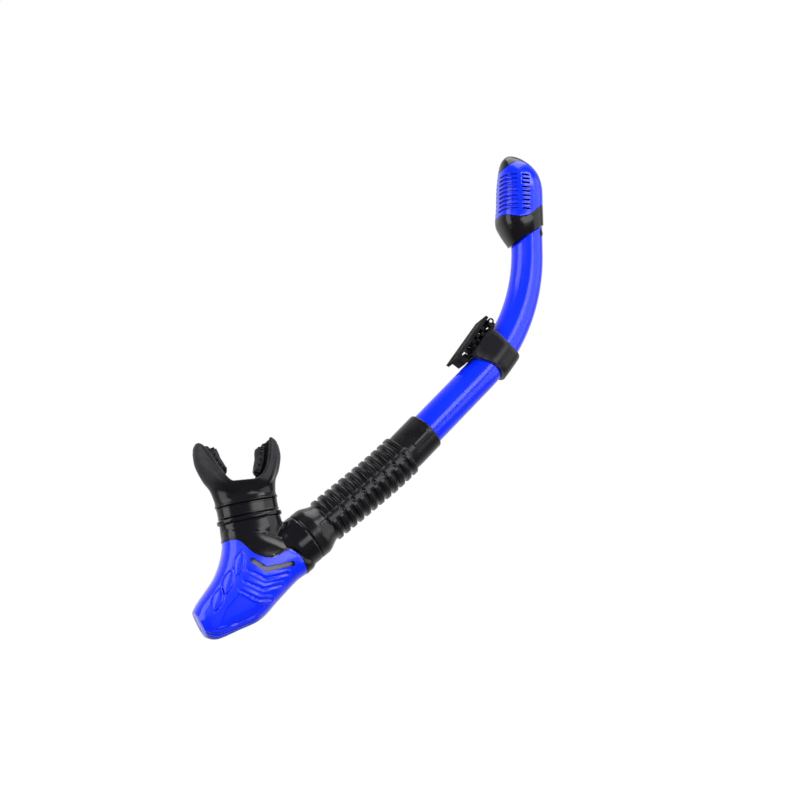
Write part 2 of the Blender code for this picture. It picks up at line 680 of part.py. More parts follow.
def hose_branch(inset=0.0, start=0.0, reach=34.0):
    """The round branch that the hose's lower end butts on."""
    radius = HOSE_SEAM_RADIUS - inset
    rings = []
    for travel, share in ((start, 1.0), (12.0, 1.0), (reach, 0.86)):
        rings.append(loop(HOSE_END + DOWN_HOSE * travel, outward(HOSE_END_ANGLE) * radius * share,
                          radius * share, HOUSING_SIDES))
    return skin(rings)


def neck_ring(height, half_width, half_depth, sides=HOUSING_SIDES, power=2.2):
    return loop(NECK_FOOT + NECK_UP * height, NECK_ACROSS * half_width, half_depth, sides, power)


def neck_body():
    rings = [neck_ring(-30, 20.0, 14.5), neck_ring(-12, 23.4, 16.2), neck_ring(-3.4, 23.0, 15.6),
             neck_ring(-3.0, *NECK_HALF), neck_ring(-0.4, *NECK_HALF), neck_ring(-0.2, *COLLAR_HALF),
             neck_ring(18, *COLLAR_HALF)]
    return skin(rings)


def neck_bore():
    width, depth = COLLAR_HALF
    rings = [neck_ring(-30, 16.0, 11.0), neck_ring(-12, 19.5, 13.0), neck_ring(-2.5, width - 2, depth - 2),
             neck_ring(20, width - 2, depth - 2)]
    return skin(rings)


def make_housing():
    """The Y-shaped body: neck for the mouthpiece, spigot for the hose, open at the bottom to the purge."""
    housing = add_object("y_housing", boot_body(first=4), "gloss_black", HOSE_MIDDLE)
    boolean(housing, "UNION", hose_branch())
    boolean(housing, "UNION", neck_body())
    spigot_end = HOSE_END - DOWN_HOSE * SPIGOT_LENGTH
    boolean(housing, "UNION", rod(spigot_end, HOSE_END + DOWN_HOSE * 4, SPIGOT_RADIUS, 24))
    hollows = (
        boot_body(HOUSING_WALL, first=3),
        hose_branch(HOUSING_WALL, start=2.4, reach=30.0),
        neck_bore(),
        rod(spigot_end - DOWN_HOSE * 2, HOSE_END + DOWN_HOSE * 8, SPIGOT_RADIUS - SPIGOT_WALL, 24),
    )
    for hollow in hollows:
        boolean(housing, "DIFFERENCE", hollow, "MANIFOLD")
    boolean(housing, "INTERSECT", above(WAVE, GASKET_HEIGHT / 2 + GAP), "MANIFOLD")


def make_gasket():
    """The soft lip between the housing's edge and the purge cover's."""
    gasket = add_object("cover_gasket", boot_body(first=3), "silicone", HOSE_MIDDLE)
    band = edge_line(WAVE, GASKET_HEIGHT / 2) + edge_line(WAVE, -GASKET_HEIGHT / 2)[::-1]
    boolean(gasket, "INTERSECT", prism(band, -40, 40))
    boolean(gasket, "DIFFERENCE", boot_body(HOUSING_WALL, first=2))


def vent_outline():
    """The V-shaped drain slot as a bent band with square ends."""
    left, elbow, right = (Vector((x, z)) for x, z in VENT)
    first, second = (elbow - left).normalized(), (right - elbow).normalized()
    side_one, side_two = Vector((-first.y, first.x)), Vector((-second.y, second.x))
    corner = (side_one + side_two).normalized() * (VENT_HALF_WIDTH / cos(side_one.angle(side_two) / 2))
    ends = (side_one * VENT_HALF_WIDTH, side_two * VENT_HALF_WIDTH)
    outline = [left + ends[0], elbow + corner, right + ends[1],
               right - ends[1], elbow - corner, left - ends[0]]
    return [tuple(point) for point in outline]


def make_purge_cover():
    cover = add_object("purge_cover", boot_body(), "blue", HOSE_MIDDLE)
    boolean(cover, "DIFFERENCE", boot_body(HOUSING_WALL))
    boolean(cover, "INTERSECT", below(WAVE, -GASKET_HEIGHT / 2 - GAP))
    boolean(cover, "DIFFERENCE", prism(vent_outline(), -30, 30))


def make_purge_valve():
    """A plate across the housing with a ring of ports, and the soft disc that covers them from below."""
    slab = block(PURGE_CENTRE, PURGE_ACROSS, PURGE_DOWN, 26, PURGE_SEAT_HALF, 30)
    seat = add_object("purge_valve_seat", slab, "satin_black", HOSE_MIDDLE)
    boolean(seat, "INTERSECT", boot_body(HOUSING_WALL + 5 * GAP, first=4))
    through = PURGE_DOWN * 4
    ports = rod(PURGE_CENTRE - through, PURGE_CENTRE + through, PURGE_STEM_RADIUS + 0.4, 12)
    for port in range(PORT_COUNT):
        bearing = 2 * pi * port / PORT_COUNT
        middle = PURGE_CENTRE + PORT_CIRCLE * (PURGE_ACROSS * cos(bearing) + Vector((0, sin(bearing), 0)))
        merge(ports, rod(middle - through, middle + through, PORT_RADIUS, 12))
    boolean(seat, "DIFFERENCE", ports)
    face = PURGE_CENTRE + PURGE_DOWN * (PURGE_SEAT_HALF + GAP)
    plate = rod(face, face + PURGE_DOWN * PURGE_DISC_THICKNESS, PURGE_DISC_RADIUS, 28)
    disc = add_object("purge_diaphragm", plate, "silicone", PURGE_CENTRE)
    stem_top = PURGE_CENTRE - PURGE_DOWN * (PURGE_SEAT_HALF + PURGE_LIFT_ROOM)
    boolean(disc, "UNION", rod(stem_top, face + PURGE_DOWN * 0.5, PURGE_STEM_RADIUS, 12))
    boolean(disc, "UNION", rod(stem_top - PURGE_DOWN, stem_top + PURGE_DOWN * 0.5,
                               PURGE_STEM_RADIUS + 1, 12))


# Mouthpiece

def rim_ring(share, half_width, half_depth):
    """A ring of the flared part: share 0 is level, and share 1 is the rim that rises at the wings."""
    ring = []
    for k in range(MOUTH_SIDES):
        angle = 2 * pi * k / MOUTH_SIDES
        c, s = cos(angle), sin(angle)
        wing = abs(c) ** (3.4 if c > 0 else 2.2)
        height = SKIRT_HEIGHT + share * (
            RIM_LOW - SKIRT_HEIGHT + (RIM_HIGH - RIM_LOW) * wing - RIM_TILT * c)
        ring.append(NECK_FOOT + NECK_UP * height + NECK_ACROSS * (half_width * c)
                    + Vector((0, half_depth * s, 0)))
    return ring


def make_mouthpiece():
    """Sleeve over the neck's collar, flared lip shield, and two bite tabs."""
    inner_width, inner_depth = (half + GAP for half in COLLAR_HALF)
    outer_width, outer_depth = inner_width + SLEEVE_THICKNESS, inner_depth + SLEEVE_THICKNESS
    sides = MOUTH_SIDES
    rings = [
        neck_ring(GAP, outer_width, outer_depth, sides), neck_ring(9.2, outer_width, outer_depth, sides),
        neck_ring(9.4, 23.4, 16.4, sides), neck_ring(11, 23.2, 16.0, sides),
        rim_ring(0.0, 22.8, 15.4), rim_ring(0.2, 24.6, 15.6), rim_ring(0.37, 28.4, 16.2),
        rim_ring(0.62, 31.8, 17.2), rim_ring(0.82, 31.8, 18.2), rim_ring(0.93, 30.6, 18.6),
        rim_ring(1.0, 28.2, 18.0), rim_ring(0.97, 27.0, 16.4), rim_ring(0.82, 29.0, 15.8),
        rim_ring(0.62, 29.0, 14.6), rim_ring(0.37, 25.6, 13.4), rim_ring(0.28, 20.6, 12.4),
        neck_ring(18.8, 16.5, 9.5, sides), neck_ring(18.4, inner_width, inner_depth, sides),
        neck_ring(GAP, inner_width, inner_depth, sides),
    ]
    mouthpiece = add_object("mouthpiece", skin(rings, hollow=True), "silicone", HOSE_MIDDLE)
    for side in (-1, 1):
        points = [NECK_FOOT + NECK_ACROSS * (side * across) + NECK_UP * (up - side * RIM_TILT)
                  for across, up in TAB_OUTLINE]
        tab = prism([(point.x, point.z) for point in points], -TAB_THICKNESS / 2, TAB_THICKNESS / 2)
        boolean(mouthpiece, "UNION", tab)
        lug = NECK_FOOT + NECK_ACROSS * (side * 13.5) + NECK_UP * (40.5 - side * RIM_TILT)
        boolean(mouthpiece, "UNION", block(lug, NECK_ACROSS, NECK_UP, 2.2, 8.5, 5.2))
    clamp_width, clamp_depth = outer_width + GAP, outer_depth + GAP
    clamp = [neck_ring(0.5, clamp_width, clamp_depth), neck_ring(0.5, clamp_width + 1.2, clamp_depth + 1.2),
             neck_ring(0.5 + CLAMP_HEIGHT, clamp_width + 1.2, clamp_depth + 1.2),
             neck_ring(0.5 + CLAMP_HEIGHT, clamp_width, clamp_depth)]
    add_object("mouthpiece_clamp", skin(clamp, hollow=True), "satin_black", HOSE_MIDDLE)


def main():
    clear_scene()
    make_barrel()
    make_collar()
    make_o_ring()
    make_cover()
    make_cap()
    make_float_valve()
    make_button()
    make_keeper()
    make_gate()
    make_hose()
    make_housing()
    make_gasket()
    make_purge_cover()
    make_purge_valve()
    make_mouthpiece()


main()
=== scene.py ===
"""The looks of a dry-top snorkel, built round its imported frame.

Every piece is modelled in millimetres on a sheet that stands in the snorkel's plane of symmetry, x to the
right and z up, with y as the depth off the sheet, and is moved to the frame's origin, the middle of the
keeper's strap slot, when it is added in metres.
"""

from math import acos, atan2, cos, pi, radians, sin, tan

import bmesh
import bpy
from bpy.props import FloatProperty, FloatVectorProperty, IntProperty, PointerProperty
from mathutils import Matrix, Vector


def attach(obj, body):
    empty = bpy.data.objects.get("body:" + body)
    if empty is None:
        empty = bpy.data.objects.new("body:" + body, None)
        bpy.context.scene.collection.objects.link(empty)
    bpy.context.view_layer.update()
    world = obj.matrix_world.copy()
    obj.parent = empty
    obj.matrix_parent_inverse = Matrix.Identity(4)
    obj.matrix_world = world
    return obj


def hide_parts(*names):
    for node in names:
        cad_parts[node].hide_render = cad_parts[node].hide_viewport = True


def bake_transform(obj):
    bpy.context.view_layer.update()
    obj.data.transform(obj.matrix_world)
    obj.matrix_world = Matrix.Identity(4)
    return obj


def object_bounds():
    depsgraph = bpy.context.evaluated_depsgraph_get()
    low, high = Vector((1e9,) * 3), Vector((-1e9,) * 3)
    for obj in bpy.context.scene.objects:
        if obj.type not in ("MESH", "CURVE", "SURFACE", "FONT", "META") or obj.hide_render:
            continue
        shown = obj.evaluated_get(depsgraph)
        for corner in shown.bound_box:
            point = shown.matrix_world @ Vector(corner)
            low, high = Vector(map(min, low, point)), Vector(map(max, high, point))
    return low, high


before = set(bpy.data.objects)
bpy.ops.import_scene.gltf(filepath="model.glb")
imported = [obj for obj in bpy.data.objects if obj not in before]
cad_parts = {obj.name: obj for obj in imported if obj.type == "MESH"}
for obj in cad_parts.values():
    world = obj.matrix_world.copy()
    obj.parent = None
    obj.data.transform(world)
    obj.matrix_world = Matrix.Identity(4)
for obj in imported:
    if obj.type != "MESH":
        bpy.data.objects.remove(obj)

bl_info = {
    "name": "Dry-Top Snorkel",
    "version": (1, 0, 0),
    "blender": (4, 5, 0),
    "location": "3D View > Sidebar > Snorkel",
    "description": "Builds a snorkel's barrel, dry top, strap keeper, ribbed hose, mouthpiece and purge",
    "category": "Object",
}

CAD_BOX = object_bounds()
MM = 0.001
GAP = 0.3
REACH = 250.0
FINE = 96

# Barrel
BARREL_ANGLE = radians(46.4)
BEND_CENTRE = Vector((-43.4, 0, 123.5))
BEND_RADIUS = 147.0
BARREL_RADIUS_LOW = 13.3
BARREL_RADIUS_TOP = 12.4
HOSE_TOP_FROM_BEND = 62.0
BARREL_IN_HOSE = 20.0
TOP_SLANT = radians(33.9)
TOP_SLANT_HEIGHT = 137.0

# Strap keeper
KEEPER_ANGLE = radians(55.0)
KEEPER_CLEARANCE = 0.35
KEEPER_WALL = 2.6
KEEPER_DEPTH = 14.0
PLATE_INNER = 15.2
PLATE_OUTER = 17.4
PLATE_ENDS = (-17.0, 13.0)
SLOT_ALONG = -2.7
SLOT_HEIGHT = 6.0
GATE_INNER = PLATE_OUTER + SLOT_HEIGHT
GATE_THICKNESS = 2.4
GATE_ENDS = (-26.8, 15.6)
GATE_HINGE_ALONG = 14.5
GATE_HINGE_OUT = 20.2
GATE_BARS = (6.5, -0.5, -6.0)
PLATE_RIDGES = ((3.0, 1.5), (-3.25, 0.95), (-8.8, 1.0))
HINGE_RADIUS = 2.4
HINGE_BORE = 1.5
HOOK = (-22.4, 20.6, 2.2, 4.0, 9.0)
CATCH = (-18.0, 18.2, 1.6, 3.0, 6.0)
BARREL_ROOM = 13.6

# Hose
CUFF_LENGTH = 18.0
HOSE_ARC_LENGTH = 42.0
HOSE_LENGTH = 124.0
HOSE_LOW_ANGLE = radians(40.5)
CUFF_RADIUS = 15.5
VALLEY_RADIUS = 15.3
SEAM_RADIUS = 19.5
HOSE_INNER_RADIUS = 13.8
RIB_FIRST = 29.1
RIB_LAST = 103.3

# Dry top: level, left, right and half depth of its outer form
TOP_STATIONS = (
    (117.0, 91.2, 116.0, 12.4), (127.0, 89.4, 116.0, 12.7), (133.3, 85.5, 116.0, 14.5),
    (139.0, 82.2, 116.0, 17.0), (147.0, 79.1, 115.8, 19.0), (160.0, 79.9, 115.6, 19.0),
    (175.0, 80.4, 115.3, 18.5), (185.0, 81.2, 112.8, 16.5), (192.0, 82.1, 108.5, 13.0),
    (197.0, 83.4, 103.4, 9.0), (200.5, 86.0, 98.0, 5.0), (202.0, 88.5, 94.0, 2.2),
)
TOP_POWER = 2.5
TOP_WALL = 1.8
COVER_EDGE = ((60, 149.8), (80, 149.6), (85, 148.6), (92, 147.4), (100, 149.5), (106, 154.5),
              (111, 158.5), (118, 160.2), (140, 160.5))
CAP_EDGE = ((60, 178), (74, 183.2), (84, 189.8), (91, 194.4), (97, 195.2), (103, 192.6), (107.5, 187.6),
            (111, 181), (113.6, 172), (114.6, 163), (114.8, 152), (115, 141))
DECK_LEVEL = 146.2
SEAT_X = 105.5
SLOT_ROWS = 9
SLOT_PITCH = 3.55
SLOT_HALF = 0.75
SLOT_FIRST_LEVEL = 153.2
LOUVRE_COLUMN = (72.0, 91.0)
VENT_COLUMN = (94.2, 100.8)
BUTTON_BEARING = radians(48.8)
BUTTON_LEVEL = 138.2
BUTTON_RADIUS = 2.5

# Lower body: left x, left z, right x, right z and half depth of its boot form, from the toe up
BOOT_STATIONS = (
    (-152.9, -161.5, -142.5, -180.0, 14.0), (-150.2, -155.8, -134.5, -180.9, 17.5),
    (-144.8, -147.6, -120.0, -174.6, 19.8), (-138.8, -138.0, -104.0, -166.6, 20.8),
    (-134.6, -126.5, -91.5, -153.0, 21.0), (-132.8, -115.0, -78.0, -138.5, 20.8),
    (-133.8, -104.5, -64.5, -126.5, 19.8), (-131.0, -98.0, -76.0, -113.0, 16.0),
)
BOOT_POWER = 2.6
HOUSING_WALL = 2.2
WAVE = ((-170, -111.5), (-140, -111.4), (-132.7, -111.2), (-127.2, -109.9), (-122.5, -110.8),
        (-117.2, -115.2), (-112.8, -119.2), (-106.5, -121.7), (-100.5, -122.6), (-94.5, -120.4),
        (-90.1, -117.6), (-84.8, -116.3), (-79.4, -119.6), (-76, -123), (-72.5, -129), (-66, -137),
        (-40, -165))
LIP_HEIGHT = 1.2
VENT = ((-113.4, -125.7), (-103.2, -131.7), (-84.2, -127.2))
SPIGOT_LENGTH = 18.0
SPIGOT_RADIUS = 13.4
NECK_FOOT = Vector((-113.8, 0, -91.5))
NECK_LEAN = radians(12.5)
NECK_HALF = (24.0, 16.4)
NECK_POWER = 2.2
COLLAR_HALF = (18.5, 11.5)
CLAMP_HEIGHT = 8.4
RIM_FOOT = 14.0
RIM_LOW = 25.0
RIM_HIGH = 56.3
RIM_TILT = 2.8


def direction(angle):
    """The unit vector on the sheet at this angle above x."""
    return Vector((cos(angle), 0, sin(angle)))


def outward(angle):
    """From the bend's centre to the barrel, where the barrel runs at this angle."""
    return Vector((sin(angle), 0, -cos(angle)))


def bend_point(angle):
    return BEND_CENTRE + BEND_RADIUS * outward(angle)


KEEPER_ALONG = direction(KEEPER_ANGLE)
KEEPER_OUT = -outward(KEEPER_ANGLE)


def on_keeper(along, out, y=0.0):
    """The sheet point at these distances along the barrel and outwards from its middle line."""
    return bend_point(KEEPER_ANGLE) + along * KEEPER_ALONG + out * KEEPER_OUT + Vector((0, y, 0))


STRAP_SLOT = on_keeper(SLOT_ALONG, PLATE_OUTER + SLOT_HEIGHT / 2)
BARREL_X = BEND_CENTRE.x + BEND_RADIUS
HOSE_TOP = bend_point(BARREL_ANGLE) - HOSE_TOP_FROM_BEND * direction(BARREL_ANGLE)
NECK_UP = direction(pi / 2 + NECK_LEAN)
NECK_ACROSS = direction(NECK_LEAN)
DEPTH = Vector((0, 1, 0))
UP = Vector((0, 0, 1))


# Sizes and colours that a user would change

class SnorkelSizes(bpy.types.PropertyGroup):
    barrel_wall: FloatProperty(
        name="Barrel Wall", description="Thickness of the barrel's wall",
        default=0.002, min=0.001, max=0.004, unit="LENGTH")
    rib_height: FloatProperty(
        name="Rib Height", description="How far the hose's ribs stand above the valleys between them",
        default=0.00195, min=0.0005, max=0.004, unit="LENGTH")
    rib_count: IntProperty(
        name="Ribs", description="Number of ribs on the hose", default=12, min=4, max=20)
    relief_depth: FloatProperty(
        name="Relief Depth", description="Depth of the mouldings on the purge cover",
        default=0.0006, min=0.0, max=0.0015, unit="LENGTH")
    louvre_depth: FloatProperty(
        name="Louvre Depth", description="Depth of the dry top's wide louvres",
        default=0.00125, min=0.0003, max=0.0016, unit="LENGTH")
    edge_rounding: FloatProperty(
        name="Edge Rounding", description="Radius along the edges of moulded plates",
        default=0.00045, min=0.0001, max=0.001, unit="LENGTH")


class SnorkelColours(bpy.types.PropertyGroup):
    shell: FloatVectorProperty(
        name="Shell", description="Colour of barrel, louvred cover and purge cover",
        subtype="COLOR", size=3, min=0, max=1, default=(0.002, 0.022, 0.95))
    trim: FloatVectorProperty(
        name="Trim", description="Colour of the polished black pieces",
        subtype="COLOR", size=3, min=0, max=1, default=(0.005, 0.005, 0.007))
    hose: FloatVectorProperty(
        name="Hose", description="Colour of the ribbed hose",
        subtype="COLOR", size=3, min=0, max=1, default=(0.006, 0.006, 0.008))
    silicone: FloatVectorProperty(
        name="Silicone", description="Colour of the mouthpiece and seals",
        subtype="COLOR", size=3, min=0, max=1, default=(0.011, 0.011, 0.014))
    float_foam: FloatVectorProperty(
        name="Float", description="Colour of the float valve",
        subtype="COLOR", size=3, min=0, max=1, default=(0.03, 0.03, 0.035))


def sizes():
    return bpy.context.scene.snorkel_sizes


def colours():
    return bpy.context.scene.snorkel_colours


# Mesh making

def smooth(points, steps):
    """A Catmull-Rom curve through the points, each a tuple of numbers, with this many steps a span."""
    ends = [points[0], *points, points[-1]]
    curve = []
    for i in range(1, len(ends) - 2):
        for k in range(steps):
            t = k / steps
            row = zip(ends[i - 1], ends[i], ends[i + 1], ends[i + 2])
            curve.append(tuple(
                0.5 * (2 * b + (c - a) * t + (2 * a - 5 * b + 4 * c - d) * t**2
                       + (3 * b - a - 3 * c + d) * t**3)
                for a, b, c, d in row
            ))
    return [*curve, points[-1]]


def ease(low, high, value):
    """0 below low, 1 above high, and a smooth ramp between."""
    share = min(max((value - low) / (high - low), 0.0), 1.0)
    return share * share * (3 - 2 * share)


def loop(centre, across, depth, sides=FINE, power=2.0):
    """A ring of points round centre: a superellipse, across on the sheet and depth in y."""
    points = []
    for k in range(sides):
        angle = 2 * pi * k / sides
        c, s = cos(angle), sin(angle)
        reach = abs(c) ** (2 / power) * (1 if c >= 0 else -1)
        rise = abs(s) ** (2 / power) * (1 if s >= 0 else -1)
        points.append(centre + across * reach + Vector((0, depth * rise, 0)))
    return points


def skin(rings, hollow=False):
    """Bridges rings of equal count: capped at both ends, or closed on itself when hollow."""
    bm = bmesh.new()
    rows = [[bm.verts.new(point) for point in ring] for ring in rings]
    pairs = list(zip(rows, rows[1:]))
    if hollow:
        pairs.append((rows[-1], rows[0]))
    else:
        bm.faces.new(rows[0])
        bm.faces.new(rows[-1])
    for low, high in pairs:
        for k in range(len(low)):
            after = (k + 1) % len(low)
            bm.faces.new((low[k], low[after], high[after], high[k]))
    return bm


def prism(outline, y_low, y_high):
    """The outline, of (x, z) points on the sheet, extruded in y."""
    bm = bmesh.new()
    face = bm.faces.new([bm.verts.new((x, y_low, z)) for x, z in outline])
    extruded = bmesh.ops.extrude_face_region(bm, geom=[face])["geom"]
    moved = [item for item in extruded if isinstance(item, bmesh.types.BMVert)]
    bmesh.ops.translate(bm, verts=moved, vec=(0, y_high - y_low, 0))
    return bm


def rod(start, end, radius, sides=32):
    axis = end - start
    turn = axis.to_track_quat("Z", "Y").to_matrix().to_4x4()
    bm = bmesh.new()
    bmesh.ops.create_cone(bm, cap_ends=True, segments=sides, radius1=radius, radius2=radius,
                          depth=axis.length, matrix=Matrix.Translation((start + end) / 2) @ turn)
    return bm


def ball(centre, radius):
    bm = bmesh.new()
    bmesh.ops.create_uvsphere(bm, u_segments=16, v_segments=10, radius=radius,
                              matrix=Matrix.Translation(centre))
    return bm


def block(centre, along, out, half_along, half_out, half_depth):
    """A box turned on the sheet."""
    corners = [centre + along * (a * half_along) + out * (o * half_out)
               for a, o in ((-1, -1), (1, -1), (1, 1), (-1, 1))]
    return prism([(corner.x, corner.z) for corner in corners],
                 centre.y - half_depth, centre.y + half_depth)


def keeper_block(along, out, half_along, half_out, half_depth, y=0.0):
    return block(on_keeper(along, out, y), KEEPER_ALONG, KEEPER_OUT, half_along, half_out, half_depth)


def draft(bm, name="draft"):
    """A bmesh in sheet millimetres as an object that can still be cut."""
    bmesh.ops.recalc_face_normals(bm, faces=bm.faces)
    mesh = bpy.data.meshes.new(name)
    bm.to_mesh(mesh)
    bm.free()
    obj = bpy.data.objects.new(name, mesh)
    bpy.context.scene.collection.objects.link(obj)
    return obj


def shape_of(obj):
    """Takes a draft back to a bmesh that another piece can be carved with."""
    bm = bmesh.new()
    bm.from_mesh(obj.data)
    bpy.data.objects.remove(obj)
    return bm


def settle(obj):
    """Applies the object's modifiers to its mesh."""
    bpy.context.view_layer.update()
    graph = bpy.context.evaluated_depsgraph_get()
    made = bpy.data.meshes.new_from_object(obj.evaluated_get(graph))
    if not made.polygons:
        raise RuntimeError(f"{obj.name} lost all its faces")
    obj.modifiers.clear()
    old, obj.data = obj.data, made
    bpy.data.meshes.remove(old)
    return obj


def carve(obj, operation, *shapes, solver="MANIFOLD"):
    """Joins, cuts or keeps the part of obj that each shape covers."""
    for shape in shapes:
        helper = draft(shape, "helper")
        step = obj.modifiers.new("Carve", "BOOLEAN")
        step.operation = operation
        step.solver = solver
        step.object = helper
        settle(obj)
        bpy.data.objects.remove(helper)
    return obj


def round_edges(obj, width, angle=40, segments=2):
    """Bevels the edges that turn by more than the angle."""
    weld = obj.modifiers.new("Weld", "WELD")
    weld.merge_threshold = 0.02
    bevel = obj.modifiers.new("Round", "BEVEL")
    bevel.limit_method = "ANGLE"
    bevel.angle_limit = radians(angle)
    bevel.width = width
    bevel.segments = segments
    return settle(obj)


def melt(obj, voxel, passes, factor=0.5):
    """Makes joined shapes one skin whose inner corners are filleted."""
    remesh = obj.modifiers.new("Melt", "REMESH")
    remesh.mode = "VOXEL"
    remesh.voxel_size = voxel
    relax = obj.modifiers.new("Relax", "SMOOTH")
    relax.factor = factor
    relax.iterations = passes
    return settle(obj)


def displace(obj, height):
    """Moves every point along its normal by height(point, normal), in millimetres."""
    mesh = obj.data
    normals = [vertex.normal.copy() for vertex in mesh.vertices]
    for vertex, normal in zip(mesh.vertices, normals):
        vertex.co += normal * height(vertex.co, normal)
    mesh.update()
    return obj


def finish_piece(obj, name, material, sharp=35):
    """Turns a draft into a named piece in metres, with its material and shading."""
    obj.name = obj.data.name = name
    obj.data.transform(Matrix.Scale(MM, 4) @ Matrix.Translation(-STRAP_SLOT))
    obj.data.materials.clear()
    obj.data.materials.append(material)
    obj.data.shade_smooth()
    obj.data.set_sharp_from_angle(angle=radians(sharp))
    return obj


def place(obj, name, material, slot, body, *nodes, sharp=35):
    """Finishes a piece, puts it on its body and lets it stand for its nodes."""
    finish_piece(obj, name, material, sharp)
    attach(obj, body)
    if nodes:
        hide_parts(*nodes)
    return obj


# Materials

class Link:
    """A shader socket that takes part in Python arithmetic."""

    def __init__(self, nodes, socket):
        self.nodes = nodes
        self.socket = socket

    def maths(self, operation, *values):
        return self.nodes.node("ShaderNodeMath", {"operation": operation}, dict(enumerate(values)))

    def __add__(self, other):
        return self.maths("ADD", self, other)

    def __sub__(self, other):
        return self.maths("SUBTRACT", self, other)

    def __rsub__(self, other):
        return self.maths("SUBTRACT", other, self)

    def __mul__(self, other):
        return self.maths("MULTIPLY", self, other)

    __radd__ = __add__
    __rmul__ = __mul__

    def ramp(self, low, high):
        """0 below low, 1 above high."""
        return self.nodes.node("ShaderNodeMapRange", {"interpolation_type": "SMOOTHSTEP"},
                                {"Value": self, "From Min": low, "From Max": high})


def socket_names(values):
    return {key.replace("_", " ").title().replace("Ior", "IOR"): value for key, value in values.items()}


class NodeTree:
    """The nodes of a material or a world: node() adds one, and put() sets or links sockets."""

    def __init__(self, owner):
        owner.use_nodes = True
        self.tree = owner.node_tree

    def put(self, node, values):
        for key, value in values.items():
            if isinstance(value, Link):
                self.tree.links.new(value.socket, node.inputs[key])
            else:
                node.inputs[key].default_value = value

    def node(self, kind, settings=None, values=None, output=0):
        made = self.tree.nodes.new(kind)
        for key, value in (settings or {}).items():
            setattr(made, key, value)
        self.put(made, values or {})
        return Link(self, made.outputs[output])


class Recipe(NodeTree):
    """A material under way, whose constants go straight on the shader."""

    def __init__(self, name, **constants):
        self.material = bpy.data.materials.new(name)
        super().__init__(self.material)
        self.shader = self.tree.nodes["Principled BSDF"]
        self.put(self.shader, socket_names(constants))

    def noise(self, scale, detail=3.0, roughness=0.5, stretch=None):
        """Noise in the frame's metres, with this many cells a metre."""
        where = self.node("ShaderNodeTexCoord", output="Object")
        if stretch:
            where = self.node("ShaderNodeMapping", {}, {"Vector": where, "Scale": stretch})
        return self.node("ShaderNodeTexNoise", {}, {"Vector": where, "Scale": scale, "Detail": detail,
                                                     "Roughness": roughness})

    def mix(self, share, first, second):
        """The first colour where share is 0, and the second where it is 1."""
        return self.node("ShaderNodeMix", {"data_type": "RGBA"}, {0: share, 6: first, 7: second}, output=2)

    def edges(self, low=0.5, high=0.58):
        """1 along the outward edges of the mesh, from its pointiness."""
        return self.node("ShaderNodeNewGeometry", output="Pointiness").ramp(low, high)

    def painted_shade_openness(self, reach):
        """1 on open faces and less inside any groove or slot narrower than about this reach: the mask that
        paints shade into recesses.
        """
        return self.node("ShaderNodeAmbientOcclusion", {"samples": 8}, {"Distance": reach}, output="AO")

    def bump(self, height, distance, strength):
        return self.node("ShaderNodeBump", {}, {"Height": height, "Distance": distance,
                                                "Strength": strength})

    def feed(self, **values):
        self.put(self.shader, socket_names(values))
        return self.material


def shade(colour, factor, lift=0.0):
    return (*(min(part * factor + lift, 1.0) for part in colour), 1.0)


MADE = {}


def once(maker):
    """Keeps one copy of each material."""
    def shared():
        if maker.__name__ not in MADE:
            MADE[maker.__name__] = maker()
        return MADE[maker.__name__]
    return shared


@once
def polished_blue():
    """Saturated injection-moulded shell: flow clouding, orange peel, fine handling marks, and painted shade
    that darkens its grooves, slots and relief hollows.
    """
    recipe = Recipe("polished_blue", ior=1.5, coat_weight=0.25, coat_roughness=0.04)
    tint = colours().shell
    cloud = recipe.noise(34, 4, 0.55)
    peel = recipe.noise(420, 3, 0.45)
    scuffs = recipe.noise(240, 6, 0.6, stretch=(1, 1, 9)).ramp(0.6, 0.78)
    colour = recipe.mix(cloud.ramp(0.3, 0.7), shade(tint, 0.93), shade(tint, 1.04, 0.0008))
    # painted shade: the colour falls to 42% of the tint where ambient occlusion finds a groove, slot or
    # hollow
    painted_groove_shade = recipe.painted_shade_openness(0.0025)
    colour = recipe.mix(painted_groove_shade.ramp(0.4, 0.9), shade(tint, 0.42), colour)
    return recipe.feed(base_color=colour, roughness=0.16 + 0.05 * cloud + 0.05 * scuffs,
                       normal=recipe.bump(peel, 0.00006, 0.06))


@once
def polished_black():
    """Glossy black trim with faint sink clouding and hairlines."""
    recipe = Recipe("polished_black", ior=1.5)
    tint = colours().trim
    cloud = recipe.noise(60, 4)
    hairs = recipe.noise(420, 5, 0.6, stretch=(1, 1, 14)).ramp(0.62, 0.8)
    peel = recipe.noise(1100, 3)
    colour = recipe.mix(cloud, shade(tint, 0.8), shade(tint, 1.25, 0.0005))
    return recipe.feed(base_color=colour, roughness=0.13 + 0.06 * cloud + 0.08 * hairs,
                       normal=recipe.bump(peel, 0.00005, 0.3))


@once
def satin_black():
    """Fine spark-eroded texture on small black mouldings."""
    recipe = Recipe("satin_black", ior=1.48)
    tint = colours().trim
    grain = recipe.noise(5200, 4, 0.65)
    cloud = recipe.noise(90, 3)
    colour = recipe.mix(cloud, shade(tint, 1.0, 0.003), shade(tint, 1.4, 0.006))
    return recipe.feed(base_color=colour, roughness=0.34 + 0.1 * grain,
                       normal=recipe.bump(grain, 0.00004, 0.5))


